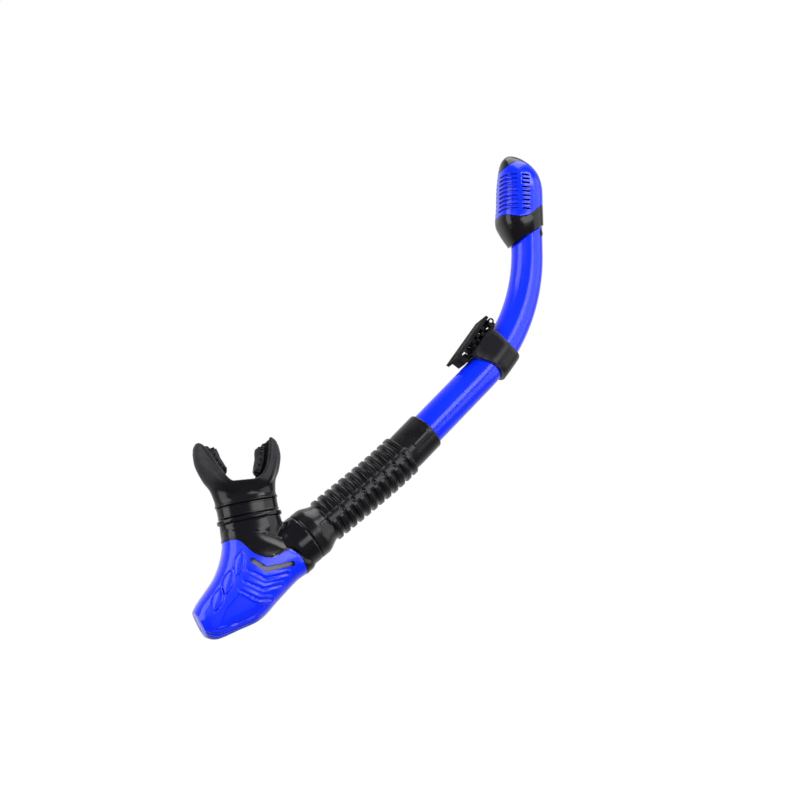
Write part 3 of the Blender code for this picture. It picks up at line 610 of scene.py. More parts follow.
@once
def keeper_black():
    """Tough black clip plastic with rubbed edges, painted lighter as a highlight where reflections run along
    them.
    """
    recipe = Recipe("keeper_black", ior=1.5, specular_ior_level=0.3)
    tint = colours().trim
    grain = recipe.noise(3600, 4, 0.6)
    cloud = recipe.noise(120, 4)
    # painted highlight: edges lighter in colour, patchy by the cloud noise, and also rougher like rubbed
    # wear
    edge_wear_and_highlight = recipe.edges(0.505, 0.56) * cloud.ramp(0.35, 0.6)
    colour = recipe.mix(edge_wear_and_highlight, shade(tint, 1.3, 0.002), shade(tint, 1.0, 0.05))
    return recipe.feed(base_color=colour, roughness=0.24 + 0.07 * grain + 0.06 * edge_wear_and_highlight,
                       normal=recipe.bump(grain, 0.00003, 0.5))


@once
def plate_black():
    """The keeper's flat plates: the same plastic with a dull moulded grain and faintly lighter edges as a
    painted highlight.
    """
    recipe = Recipe("plate_black", ior=1.45, specular_ior_level=0.05)
    tint = colours().trim
    grain = recipe.noise(2600, 4, 0.6)
    cloud = recipe.noise(140, 4)
    # painted highlight: edges a little lighter in colour, patchy by the cloud noise, and also rougher like
    # rubbed wear
    edge_wear_and_highlight = recipe.edges(0.505, 0.55) * cloud.ramp(0.3, 0.6)
    colour = recipe.mix(edge_wear_and_highlight, shade(tint, 1.2, 0.001), shade(tint, 1.0, 0.008))
    return recipe.feed(base_color=colour, roughness=0.55 + 0.1 * grain,
                       normal=recipe.bump(grain, 0.00003, 0.5))


@once
def grille_grey():
    """Grey moulded mesh behind the purge cover's vent."""
    recipe = Recipe("grille_grey", roughness=0.4)
    cells = recipe.node("ShaderNodeTexVoronoi", {}, {
        "Vector": recipe.node("ShaderNodeTexCoord", output="Object"), "Scale": 900.0})
    colour = recipe.mix(cells, (0.2, 0.2, 0.21, 1), (0.1, 0.1, 0.105, 1))
    rim_shadow = recipe.painted_shade_openness(0.003)
    colour = recipe.mix(rim_shadow.ramp(0.3, 0.75), (0.004, 0.004, 0.006, 1), colour)
    return recipe.feed(base_color=colour, normal=recipe.bump(cells, 0.0002, 0.6))


@once
def hose_black():
    """Smooth rubber with a slight bloom."""
    recipe = Recipe("hose_black", ior=1.5)
    tint = colours().hose
    bloom = recipe.noise(110, 5, 0.6)
    grain = recipe.noise(900, 3)
    colour = recipe.mix(bloom.ramp(0.4, 0.75), shade(tint, 0.9), shade(tint, 1.2, 0.002))
    return recipe.feed(base_color=colour, roughness=0.2 + 0.1 * bloom,
                       normal=recipe.bump(grain, 0.00004, 0.25))


@once
def soft_silicone():
    """Silicone, polished towards the neck and matt with a dust haze towards the bite."""
    recipe = Recipe("soft_silicone", ior=1.43)
    tint = colours().silicone
    haze = recipe.noise(75, 5, 0.62)
    grain = recipe.noise(1500, 4, 0.6)
    where = recipe.node("ShaderNodeTexCoord", output="Object")
    height = recipe.node("ShaderNodeVectorMath", {"operation": "DOT_PRODUCT"}, {0: where, 1: NECK_UP},
                         output="Value")
    foot = (NECK_FOOT - STRAP_SLOT).dot(NECK_UP) * MM
    matt = height.ramp(foot + 0.021, foot + 0.034)
    colour = recipe.mix(matt * haze.ramp(0.3, 0.75), shade(tint, 0.6), shade(tint, 1.3, 0.006))
    return recipe.feed(base_color=colour, roughness=0.15 + 0.24 * matt + 0.08 * haze,
                       normal=recipe.bump(grain, 0.00004, 0.3))


@once
def float_foam():
    """Closed-cell float material."""
    recipe = Recipe("float_foam")
    tint = colours().float_foam
    cells = recipe.node("ShaderNodeTexVoronoi", {}, {
        "Vector": recipe.node("ShaderNodeTexCoord", output="Object"), "Scale": 1600.0})
    colour = recipe.mix(cells, shade(tint, 0.7), shade(tint, 1.3))
    return recipe.feed(base_color=colour, roughness=0.6 + 0.15 * cells,
                       normal=recipe.bump(cells, 0.00015, 0.6))


@once
def drawn_steel():
    """Stainless wire with draw lines along it."""
    recipe = Recipe("drawn_steel", metallic=1.0)
    lines = recipe.noise(3000, 4, 0.6, stretch=(1, 0.05, 1))
    colour = recipe.mix(lines, (0.5, 0.5, 0.52, 1), (0.68, 0.68, 0.7, 1))
    return recipe.feed(base_color=colour, roughness=0.22 + 0.16 * lines,
                       normal=recipe.bump(lines, 0.00003, 0.4))


def dress_node(name, material):
    """Gives a node that is shown as it is its material."""
    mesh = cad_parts[name].data
    mesh.materials.clear()
    mesh.materials.append(material)


# Barrel

def slant_level(x, shift=0.0):
    """The height of the slanted joint between barrel and dry top."""
    return TOP_SLANT_HEIGHT + (x - BARREL_X) * tan(TOP_SLANT) + shift


def barrel_radius(angle):
    share = (angle - BARREL_ANGLE) / (pi / 2 - BARREL_ANGLE)
    return BARREL_RADIUS_LOW + (BARREL_RADIUS_TOP - BARREL_RADIUS_LOW) * share


def barrel_rings(inset, trim):
    """Rings from the end inside the hose up to the slanted joint, less trim."""
    rings = []
    reach = HOSE_TOP_FROM_BEND + BARREL_IN_HOSE
    for k in range(20):
        centre = bend_point(BARREL_ANGLE) - reach * (1 - k / 20) * direction(BARREL_ANGLE)
        radius = BARREL_RADIUS_LOW - inset
        rings.append(loop(centre, outward(BARREL_ANGLE) * radius, radius))
    for k in range(49):
        angle = BARREL_ANGLE + (pi / 2 - BARREL_ANGLE) * k / 48
        radius = barrel_radius(angle) - inset
        rings.append(loop(bend_point(angle), outward(angle) * radius, radius))
    radius = BARREL_RADIUS_TOP - inset
    for share in (0.25, 0.5, 0.75, 0.94, 1.0):
        ring = loop(Vector((BARREL_X, 0, 0)), Vector((radius, 0, 0)), radius)
        for point in ring:
            point.z = BEND_CENTRE.z + share * (slant_level(point.x, -GAP / 2 - trim) - BEND_CENTRE.z)
        rings.append(ring)
    return rings


def make_barrel():
    wall = sizes().barrel_wall / MM
    lip = []
    for inset, trim in ((0.08, 0.22), (0.3, 0.06), (0.55, 0.0), (wall - 0.3, 0.0), (wall - 0.05, 0.2)):
        lip.append(barrel_rings(inset, trim)[-1])
    rings = barrel_rings(0.0, 0.5) + lip + barrel_rings(wall, 0.5)[::-1]
    barrel = draft(skin(rings, hollow=True))
    carve(barrel, "DIFFERENCE", button_rod(BUTTON_RADIUS + GAP, 7.0, 16.0))
    place(barrel, "barrel", polished_blue(), "blue_plastic", "barrel", "barrel_tube")


# Dry top

def top_body(inset=0.0, first=0, lift=0.0, steps=6):
    """The dry top's whole outer form, or the form inside its wall."""
    rings = []
    for level, left, right, depth in smooth(TOP_STATIONS, steps)[first * steps:]:
        middle = Vector(((left + right) / 2, 0, level + lift))
        half = max((right - left) / 2 - inset, 0.6)
        rings.append(loop(middle, Vector((half, 0, 0)), max(depth - inset, 0.5), FINE, TOP_POWER))
    return skin(rings)


def edge_line(edge, shift, steps=8):
    """The smooth line through the edge's points, moved sideways: up where it runs to the right."""
    line = smooth(edge, steps)
    moved = []
    for number, (x, z) in enumerate(line):
        before, after = line[max(number - 1, 0)], line[min(number + 1, len(line) - 1)]
        run = Vector((after[0] - before[0], after[1] - before[1])).normalized()
        moved.append((x - run.y * shift, z + run.x * shift))
    return moved


def below(edge, shift):
    """Everything below an edge line."""
    line = edge_line(edge, shift)
    return prism([*line, (line[-1][0], -REACH), (line[0][0], -REACH)], -40, 40)


def above(edge, shift):
    """Everything above an edge line."""
    line = edge_line(edge, shift)
    return prism([*line, (REACH, line[-1][1]), (REACH, REACH), (line[0][0], REACH)], -40, 40)


def slant_wedge():
    """Everything above the slanted joint."""
    middle = Vector((BARREL_X, 0, TOP_SLANT_HEIGHT))
    out = direction(TOP_SLANT + pi / 2)
    return block(middle + out * (30 + GAP / 2), direction(TOP_SLANT), out, 60, 30, 40)


def button_rod(radius, start, end):
    """A bar on the lock button's line, between these distances from the barrel's middle line."""
    line = Vector((sin(BUTTON_BEARING), -cos(BUTTON_BEARING), 0))
    middle = Vector((BARREL_X, 0, BUTTON_LEVEL))
    return rod(middle + line * start, middle + line * end, radius, 40)


def make_collar():
    collar = draft(top_body())
    carve(collar, "INTERSECT", below(COVER_EDGE, -GAP / 2), slant_wedge())
    plug_foot = Vector((BARREL_X, 0, 117.0))
    carve(collar, "UNION", rod(plug_foot, plug_foot + UP * 26, 10.0, 64))
    carve(collar, "DIFFERENCE", top_body(TOP_WALL, 4, lift=DECK_LEVEL - TOP_STATIONS[4][0]))
    seat = Vector((SEAT_X, 0, DECK_LEVEL))
    carve(collar, "UNION", rod(seat - UP * 1.5, seat + UP * 2.0, 7.6, 48))
    carve(collar, "DIFFERENCE", rod(plug_foot - UP, plug_foot + UP * 25, 8.3, 48),
          rod(seat - UP * 8, seat + UP * 9, 6.0, 48), button_rod(BUTTON_RADIUS + GAP, 4.0, 12.0))
    round_edges(collar, 0.35)
    place(collar, "dry_top_base", polished_black(), "gloss_black_plastic", "barrel", "dry_top_collar")


def louvre(left, right, level, low, high):
    """A slot with rounded ends, as a prism."""
    half = SLOT_HALF
    outline = [(left, level), (right - half, level)]
    outline += [(right - half + half * sin(pi * k / 6), level + half - half * cos(pi * k / 6))
                for k in range(1, 6)]
    outline += [(right - half, level + 2 * half), (left, level + 2 * half)]
    return prism(outline, low, high)


def make_cover():
    cover = draft(top_body(first=3))
    carve(cover, "DIFFERENCE", top_body(TOP_WALL, 2))
    carve(cover, "INTERSECT", above(COVER_EDGE, GAP / 2), below(CAP_EDGE, -GAP / 2))
    floor = TOP_WALL - sizes().louvre_depth / MM
    for row in range(SLOT_ROWS):
        level = SLOT_FIRST_LEVEL + row * SLOT_PITCH
        for side in (-1, 1):
            low, high = sorted((side * 3.0, side * 26.0))
            groove = draft(louvre(*LOUVRE_COLUMN, level, low, high), "groove")
            carve(groove, "DIFFERENCE", top_body(TOP_WALL - floor, 2, steps=3))
            carve(cover, "DIFFERENCE", shape_of(groove), louvre(*VENT_COLUMN, level, low, high))
    round_edges(cover, 0.12, 50)
    place(cover, "louvred_cover", polished_blue(), "blue_plastic", "barrel", "dry_top_cover")


def make_cap():
    cap = draft(top_body(first=3))
    carve(cap, "DIFFERENCE", top_body(TOP_WALL, 2))
    carve(cap, "INTERSECT", above(CAP_EDGE, GAP / 2), above(COVER_EDGE, GAP / 2))
    round_edges(cap, 0.2, 50)
    place(cap, "peak_cap", polished_black(), "gloss_black_plastic", "barrel", "dry_top_cap")


def make_button():
    line = Vector((sin(BUTTON_BEARING), -cos(BUTTON_BEARING), 0))
    middle = Vector((BARREL_X, 0, BUTTON_LEVEL))
    button = draft(button_rod(BUTTON_RADIUS, 9.0, BARREL_RADIUS_TOP + GAP))
    carve(button, "DIFFERENCE", ball(middle + line * (BARREL_RADIUS_TOP + 4.2), 4.6))
    round_edges(button, 0.3)
    place(button, "release_button", satin_black(), "satin_black_plastic", "button", "lock_button")


# Strap keeper

def saddle_reach(bearing):
    """Outer distance of the band and its saddle from the barrel's line, by bearing from the plate."""
    radius = BARREL_RADIUS_LOW + KEEPER_CLEARANCE + KEEPER_WALL
    corner = Vector((PLATE_INNER + 0.8, KEEPER_DEPTH - 0.6))
    bearing = min(bearing, 2 * pi - bearing)
    ray = Vector((cos(bearing), sin(bearing)))
    corner_bearing = atan2(corner.y, corner.x)
    if bearing <= corner_bearing:
        return corner.x / ray.x
    tangent = corner_bearing + acos(radius / corner.length)
    if bearing >= tangent:
        return radius
    touch = Vector((cos(tangent), sin(tangent))) * radius
    edge = touch - corner
    return (corner.x * edge.y - corner.y * edge.x) / (ray.x * edge.y - ray.y * edge.x)


def keeper_ring():
    """The band as a rounded strip swept round the barrel, widening to the plate's length."""
    inner = barrel_radius(KEEPER_ANGLE) + KEEPER_CLEARANCE
    rings = []
    for k in range(160):
        bearing = 2 * pi * k / 160
        toward = 1 - ease(pi * 0.16, pi * 0.62, min(bearing, 2 * pi - bearing))
        low = -11.5 - 5.1 * toward
        high = 8.0 + 4.6 * toward
        outer = saddle_reach(bearing)
        ring = []
        for along, out in ((low, inner), (low, outer - 0.7), (low + 0.2, outer - 0.2), (low + 0.7, outer),
                           (low * 0.5, outer), (high * 0.5, outer), (high - 0.7, outer),
                           (high - 0.2, outer - 0.2), (high, outer - 0.7), (high, inner),
                           (high * 0.5, inner), (low * 0.5, inner)):
            bend = KEEPER_ANGLE + along / BEND_RADIUS
            off = out * cos(bearing)
            ring.append(bend_point(bend) - outward(bend) * off + DEPTH * (out * sin(bearing)))
        rings.append(ring)
    return skin(rings, hollow=True)


def hinge_rod(y_low, y_high, radius):
    """A bar on the gate's hinge line."""
    start, end = (on_keeper(GATE_HINGE_ALONG, GATE_HINGE_OUT, y) for y in (y_low, y_high))
    return rod(start, end, radius)


def make_keeper():
    rounding = sizes().edge_rounding / MM
    material = keeper_black()
    place(draft(keeper_ring()), "keeper_ring", material, "keeper_plastic", "keeper", "keeper_band")
    middle = (PLATE_ENDS[0] + PLATE_ENDS[1]) / 2
    half = (PLATE_ENDS[1] - PLATE_ENDS[0]) / 2
    plate = draft(keeper_block(middle, (PLATE_INNER + PLATE_OUTER) / 2, half,
                               (PLATE_OUTER - PLATE_INNER) / 2, KEEPER_DEPTH))
    for side in (-1, 1):
        carve(plate, "UNION", keeper_block(GATE_HINGE_ALONG - 1.5, 18.1, 1.9, 2.2, 3.2, side * 10.5),
              hinge_rod(side * 7.3, side * 13.7, HINGE_RADIUS))
    carve(plate, "UNION", keeper_block(*CATCH))
    carve(plate, "DIFFERENCE", hinge_rod(-15, 15, HINGE_BORE))
    for along, half_along in PLATE_RIDGES:
        for side in (-1, 1):
            carve(plate, "UNION", keeper_block(along, PLATE_OUTER + 1.4, half_along, 1.9, 4.6, side * 6.8))
    bends = [KEEPER_ANGLE + along / BEND_RADIUS for along in range(-24, 25, 4)]
    bore = [loop(bend_point(bend), outward(bend) * BARREL_ROOM, BARREL_ROOM) for bend in bends]
    carve(plate, "DIFFERENCE", skin(bore))
    round_edges(plate, rounding)
    place(plate, "strap_plate", plate_black(), "keeper_plastic", "keeper")
    dress_node("gate_pin", drawn_steel())


def make_gate():
    middle = (GATE_ENDS[0] + GATE_ENDS[1]) / 2
    half = (GATE_ENDS[1] - GATE_ENDS[0]) / 2
    out = GATE_INNER + GATE_THICKNESS / 2
    gate = draft(keeper_block(middle, out, half, GATE_THICKNESS / 2, KEEPER_DEPTH))
    for along in GATE_BARS:
        for side in (-1, 1):
            carve(gate, "UNION", keeper_block(along, GATE_INNER - 0.9, 1.5, 1.9, 4.6, side * 6.8))
    carve(gate, "UNION", keeper_block(*HOOK), hinge_rod(-6.9, 6.9, HINGE_RADIUS),
          keeper_block(GATE_HINGE_ALONG, GATE_HINGE_OUT + 2.2, 1.5, 2.4, 6.4))
    carve(gate, "DIFFERENCE", hinge_rod(-15, 15, HINGE_BORE))
    face = GATE_INNER + GATE_THICKNESS
    frame_cut = draft(keeper_block(middle + 1, face, half - 3.0, 0.5, KEEPER_DEPTH - 2.4), "groove")
    carve(frame_cut, "DIFFERENCE", keeper_block(middle + 1, face, half - 4.2, 2.0, KEEPER_DEPTH - 3.6))
    carve(gate, "DIFFERENCE", shape_of(frame_cut))
    for number in range(4):
        carve(gate, "DIFFERENCE", keeper_block(GATE_ENDS[0] + 1.6 + number * 1.6, face, 0.35, 0.4, 9.0))
    round_edges(gate, sizes().edge_rounding / MM * 0.8)
    place(gate, "gate", plate_black(), "keeper_plastic", "gate", "strap_gate")


# Ribbed hose

def hose_at(travel):
    """(point, running angle) at this distance from the hose's top end."""
    if travel <= CUFF_LENGTH:
        return HOSE_TOP - direction(BARREL_ANGLE) * travel, BARREL_ANGLE
    turn = HOSE_LOW_ANGLE - BARREL_ANGLE
    radius = HOSE_ARC_LENGTH / abs(turn)
    start = HOSE_TOP - direction(BARREL_ANGLE) * CUFF_LENGTH
    centre = start - outward(BARREL_ANGLE) * radius
    share = min((travel - CUFF_LENGTH) / HOSE_ARC_LENGTH, 1.0)
    angle = BARREL_ANGLE + turn * share
    rest = max(travel - CUFF_LENGTH - HOSE_ARC_LENGTH, 0.0)
    return centre + outward(angle) * radius - direction(angle) * rest, angle


HOSE_END, HOSE_END_ANGLE = hose_at(HOSE_LENGTH)
DOWN_HOSE = -direction(HOSE_END_ANGLE)


def hose_radius(travel, bearing):
    """The hose's outer radius: cuff, ribs broken by a smooth spine with oval pits, and the wide seam end."""
    height = sizes().rib_height / MM
    count = sizes().rib_count
    pitch = (RIB_LAST - RIB_FIRST) / (count - 1)
    crest = RIB_FIRST + pitch * round(min(max((travel - RIB_FIRST) / pitch, 0), count - 1))
    rib = 1 - ease(1.35, 2.35, abs(travel - crest))
    flare = ease(RIB_LAST + 2, HOSE_LENGTH - 6, travel)
    base = VALLEY_RADIUS + (CUFF_RADIUS - VALLEY_RADIUS) * (1 - ease(20, 27, travel))
    base += (SEAM_RADIUS - 0.1 - base) * flare
    in_ribs = ease(RIB_FIRST - 4, RIB_FIRST - 2.4, travel) * (1 - ease(RIB_LAST + 2.4, RIB_LAST + 4, travel))
    off_spine = abs(abs((bearing - pi) % (2 * pi) - pi) - pi / 2)
    spine = 1 - ease(radians(11), radians(14), off_spine)
    raised = height * (1 - spine) * rib * in_ribs + height * 0.82 * spine * in_ribs
    for number in range(7):
        along = (travel - 31.5 - number * 10.2) / 1.9
        side = off_spine / radians(7.5)
        raised -= 1.1 * spine * in_ribs * (1 - ease(0.55, 1.0, (along**2 + side**2) ** 0.5))
    pad = 1 - ease(radians(6.0), radians(7.5), off_spine)
    for low, high in ((4.0, 19.0), (108.0, 113.5)):
        raised += 0.45 * pad * ease(low - 0.5, low, travel) * (1 - ease(high, high + 0.5, travel))
    end = 0.5 * (1 - ease(0.0, 0.7, travel)) + 0.35 * ease(HOSE_LENGTH - 1.1, HOSE_LENGTH - 0.4, travel)
    return base + raised - end


def make_hose():
    rings = []
    count = 300
    last = HOSE_LENGTH - 0.4
    for k in range(count + 1):
        travel = last * k / count
        point, angle = hose_at(travel)
        ring = []
        for side in range(144):
            bearing = 2 * pi * side / 144
            radius = hose_radius(travel, bearing)
            ring.append(point + outward(angle) * (radius * cos(bearing)) + DEPTH * (radius * sin(bearing)))
        rings.append(ring)
    for k in range(25):
        point, angle = hose_at(last * (1 - k / 24))
        rings.append(loop(point, outward(angle) * HOSE_INNER_RADIUS, HOSE_INNER_RADIUS, 144))
    hose = finish_piece(draft(skin(rings, hollow=True)), "ribbed_hose", hose_black(), 60)
    start, end = ((hose_at(travel)[0] - STRAP_SLOT) * MM for travel in (24.0, 106.0))
    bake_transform(hose)
    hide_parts("flex_hose")


# Lower housing

def boot_rings(inset=0.0, first=0, steps=8, sides=128):
    """Rings of the boot form from the toe up, or of the form inside its wall."""
    rings = []
    stations = smooth(BOOT_STATIONS, steps)
    for number, (left, left_z, right, right_z, depth) in enumerate(stations[first * steps:]):
        start, end = Vector((left, 0, left_z)), Vector((right, 0, right_z))
        middle = (start + end) / 2
        if number + first == 0 and inset:
            middle += Vector((1.2, 0, 0.9)) * inset
        half = (end - start) / 2
        rings.append(loop(middle, half * (1 - inset / half.length), depth - inset, sides, BOOT_POWER))
    return rings


def hose_branch(inset=0.0, start=0.0, reach=34.0):
    """The housing's arm towards the hose, or the form inside its wall."""
    radius = SEAM_RADIUS - inset
    rings = []
    for travel, share in ((start, 0.985), (start + 0.6, 1.0), (12.0, 1.0), (reach, 0.86)):
        rings.append(loop(HOSE_END + DOWN_HOSE * travel, outward(HOSE_END_ANGLE) * radius * share,
                          radius * share))
    return skin(rings)


def neck_ring(height, half_width, half_depth):
    return loop(NECK_FOOT + NECK_UP * height, NECK_ACROSS * half_width, half_depth, FINE, NECK_POWER)


def neck_body():
    """The stub that carries the neck's collar."""
    width, depth = 23.2, 15.9
    return skin([neck_ring(-30, width - 3.4, depth - 1.7), neck_ring(-12, width, depth),
                 neck_ring(-3.2, width - 0.6, depth - 0.6)])


def make_housing():
    housing = draft(skin(boot_rings(first=4)))
    carve(housing, "UNION", hose_branch(), neck_body())
    melt(housing, 0.6, 14)
    spigot_end = HOSE_END - DOWN_HOSE * SPIGOT_LENGTH
    carve(housing, "UNION", rod(spigot_end, HOSE_END + DOWN_HOSE * 4, SPIGOT_RADIUS, 64))
    carve(housing, "DIFFERENCE", skin(boot_rings(HOUSING_WALL, first=3)),
          hose_branch(HOUSING_WALL, start=2.4, reach=30.0),
          skin([neck_ring(-30, 16.0, 11.0), neck_ring(-12, 19.5, 13.0), neck_ring(20, 16.5, 9.5)]),
          rod(spigot_end - DOWN_HOSE * 2, HOSE_END + DOWN_HOSE * 8, SPIGOT_RADIUS - 2.2, 64))
    carve(housing, "INTERSECT", above(WAVE, LIP_HEIGHT / 2 + GAP))
    place(housing, "housing", polished_black(), "gloss_black_plastic", "lower_body", "y_housing")
    width, depth = NECK_HALF
    flange = [neck_ring(-3.6, 16.5, 9.5), neck_ring(-3.6, width - 0.9, depth - 0.9),
              neck_ring(-3.3, width - 0.25, depth - 0.25), neck_ring(-2.9, width, depth),
              neck_ring(-0.9, width, depth), neck_ring(-0.5, width - 0.25, depth - 0.25),
              neck_ring(-0.25, width - 0.8, depth - 0.8), neck_ring(-0.2, *COLLAR_HALF),
              neck_ring(17.4, *COLLAR_HALF), neck_ring(18, COLLAR_HALF[0] - 0.6, COLLAR_HALF[1] - 0.6),
              neck_ring(18, 16.5, 9.5)]
    place(draft(skin(flange, hollow=True)), "neck_collar", polished_black(), "gloss_black_plastic",
          "lower_body")


def make_lip():
    """The soft lip that shows as a fine black line round the purge cover."""
    lip = draft(skin(boot_rings(-0.35, first=3)))
    band = edge_line(WAVE, LIP_HEIGHT / 2) + edge_line(WAVE, -LIP_HEIGHT / 2)[::-1]
    carve(lip, "INTERSECT", prism(band, -40, 40))
    carve(lip, "DIFFERENCE", skin(boot_rings(HOUSING_WALL, first=2)))
    round_edges(lip, 0.25, 50)
    place(lip, "cover_lip", soft_silicone(), "silicone", "lower_body", "cover_gasket")


LEAVES = (((-120.8, -119.1), (-124.6, -136.6)), ((-128.2, -133.0), (-132.6, -150.1)),
          ((-134.8, -145.3), (-139.9, -162.2)))
LEAF_WIDTH = 3.7
CHEVRONS = (((-116.5, -132.6), (-103.6, -138.4), (-87.5, -134.4)),
            ((-118.8, -140.6), (-104.8, -146.0), (-92.0, -142.6)),
            ((-121.4, -147.6), (-108.0, -153.6), (-99.0, -153.0)))
FIELD = ((-121.9, -148.6), (-111.8, -154.6), (-101.5, -157.0), (-108.6, -165.5), (-122.0, -171.5),
         (-136.0, -173.5), (-131.0, -160.0))
TOE_OUT = Vector((-0.87, 0, -0.49))
TOE_MIDDLE = Vector((-147.7, 0, -170.75))
TOE_FOOT = Vector((-142.7, -179.5))
TOE_ARCHES = 2.5


def from_segment(x, z, start, end):
    """(distance from the segment, share along it)."""
    run = Vector(end) - Vector(start)
    share = min(max((Vector((x, z)) - Vector(start)).dot(run) / run.length_squared, 0.0), 1.0)
    return (Vector((x, z)) - Vector(start) - run * share).length, share


def inside_field(x, z):
    """Signed distance to the smooth field's border, positive inside."""
    nearest = min(from_segment(x, z, FIELD[k - 1], FIELD[k])[0] for k in range(len(FIELD)))
    inside = False
    for (x1, z1), (x2, z2) in zip(FIELD, FIELD[1:] + FIELD[:1]):
        if (z1 > z) != (z2 > z) and x < (x2 - x1) * (z - z1) / (z2 - z1) + x1:
            inside = not inside
    return nearest if inside else -nearest


def leaf_height(x, z, start, end):
    """A pointed leaf with a groove round it and a soft crown."""
    run = Vector(end) - Vector(start)
    share = (Vector((x, z)) - Vector(start)).dot(run) / run.length_squared
    if not -0.1 < share < 1.1:
        return 0.0
    side = abs((Vector((x, z)) - Vector(start)).cross(run)) / run.length
    width = LEAF_WIDTH * max(sin(pi * min(max(share, 0.0), 1.0)), 0.0) ** 0.7
    rim = side - width
    groove = -0.75 * (1 - ease(0.0, 0.75, abs(rim)))
    crown = 0.55 * ease(0.0, LEAF_WIDTH, -rim) if rim < 0 else 0.0
    fade = ease(-0.1, 0.0, share) * (1 - ease(1.0, 1.1, share))
    return (groove + crown) * fade


def chevron_height(x, z, line):
    """A groove along the bent line, with a low bank on each side."""
    nearest = min(from_segment(x, z, line[k], line[k + 1])[0] for k in (0, 1))
    return -0.85 * (1 - ease(0.35, 1.15, nearest)) + 0.35 * (1 - ease(0.0, 1.3, abs(nearest - 2.0)))


def cover_relief(point, normal):
    """The purge cover's mouldings on both flanks, its keel and its toe."""
    x, z = point.x, point.z
    flank = ease(0.35, 0.7, abs(normal.y))
    height = 0.0
    if flank:
        height += flank * sum(leaf_height(x, z, *leaf) for leaf in LEAVES)
        height += flank * sum(chevron_height(x, z, line) for line in CHEVRONS)
        height -= flank * 0.9 * ease(-0.6, 0.9, inside_field(x, z))
    toe = ease(0.8, 0.95, normal.dot(TOE_OUT)) * ease(-1.5, -0.7, (point - TOE_MIDDLE).dot(TOE_OUT))
    if toe:
        along = (Vector((x, z)) - TOE_FOOT).dot(Vector((-0.49, 0.87)))
        spread = ((along / 20.0) ** 2 + (point.y / 13.5) ** 2) ** 0.5
        height -= 0.45 * toe * (0.5 + 0.5 * cos(2 * pi * spread * TOE_ARCHES)) * ease(0.1, 0.25, spread)
    keel = (1 - toe) * ease(0.3, 0.6, -normal.z) * ease(-146, -138, x) * (1 - ease(-112, -102, x))
    if keel:
        height -= 0.8 * keel * (0.5 + 0.5 * cos(2 * pi * abs(point.y) / 3.2)) ** 2
    return height * sizes().relief_depth / 0.0006


def rounded_band(line, half):
    """A band of this half width along a bent line, with round ends, as (x, z) points."""
    points = [Vector(point) for point in line]
    runs = [(after - before).normalized() for before, after in zip(points, points[1:])]
    sides = [Vector((-run.y, run.x)) for run in runs]
    corner = (sides[0] + sides[1]).normalized() * (half / cos(sides[0].angle(sides[1]) / 2))
    outline = [points[1] + corner]
    for end, side, run in ((points[2], sides[1], runs[1]), (points[0], -sides[0], -runs[0])):
        for k in range(9):
            turn = pi * k / 8
            outline.append(end + side * (half * cos(turn)) + run * (half * sin(turn)))
        if end is points[2]:
            outline.append(points[1] - corner)
    return [tuple(point) for point in outline]


def make_purge_cover():
    rings = boot_rings(steps=22, sides=360)
    middle = sum(rings[0], Vector()) / len(rings[0])
    toe = []
    for k in range(1, 48):
        share = 0.965 * sin(pi / 2 * k / 48)
        toe.append([middle + (point - middle) * share + TOE_OUT * (0.5 * (1 - share**4) ** 0.5)
                    for point in rings[0]])
    cover = draft(skin(toe + rings))
    displace(cover, cover_relief)
    carve(cover, "DIFFERENCE", skin(boot_rings(HOUSING_WALL)))
    carve(cover, "INTERSECT", below(WAVE, -LIP_HEIGHT / 2 - GAP))
    carve(cover, "DIFFERENCE", prism(rounded_band(VENT, 1.9), -30, 30))
    place(cover, "purge_shield", polished_blue(), "blue_plastic", "lower_body", "purge_cover", sharp=50)
    liner = draft(skin(boot_rings(HOUSING_WALL + 0.15, first=1)))
    carve(liner, "DIFFERENCE", skin(boot_rings(HOUSING_WALL + 1.15)))
    carve(liner, "INTERSECT", prism(rounded_band(VENT, 4.0), -30, 30))
    place(liner, "vent_grille", grille_grey(), "satin_black_plastic", "lower_body")


# Mouthpiece

def rim_ring(share, half_width, half_depth):
    """A ring of the flared part: share 0 is level, and share 1 is the rim that rises at the wings.

    The right wing is cut back on the side towards the purge cover's front.
    """
    ring = []
    for k in range(FINE):
        angle = 2 * pi * k / FINE
        c, s = cos(angle), sin(angle)
        near_right = c > 0 and s < 0
        wing = min(abs(c) / 0.9, 1.0) ** 3.4 if near_right else ease(0.3, 0.97, abs(c))
        height = RIM_FOOT + share * (RIM_LOW - RIM_FOOT + (RIM_HIGH - RIM_LOW) * wing - RIM_TILT * c)
        ring.append(NECK_FOOT + NECK_UP * height + NECK_ACROSS * (half_width * c)
                    + Vector((0, half_depth * s, 0)))
    return ring


def on_neck(across, up, y=0.0):
    """The sheet point at these distances across the neck and up from its foot."""
    return NECK_FOOT + NECK_ACROSS * across + NECK_UP * up + Vector((0, y, 0))


TAB = ((29.4, 34), (30.2, 47), (28.2, 51.5), (24, 53.5), (20, 53), (18.2, 50.6), (14, 50), (13, 46.5),
       (12.5, 43), (9.8, 36), (9.3, 32.5), (10.5, 30.2), (13, 29.5), (24, 32))
BITE_HOLES = ((18.2, 49.4), (17.2, 45.3), (16.2, 41.2), (14.4, 37.2), (12.2, 33.8))


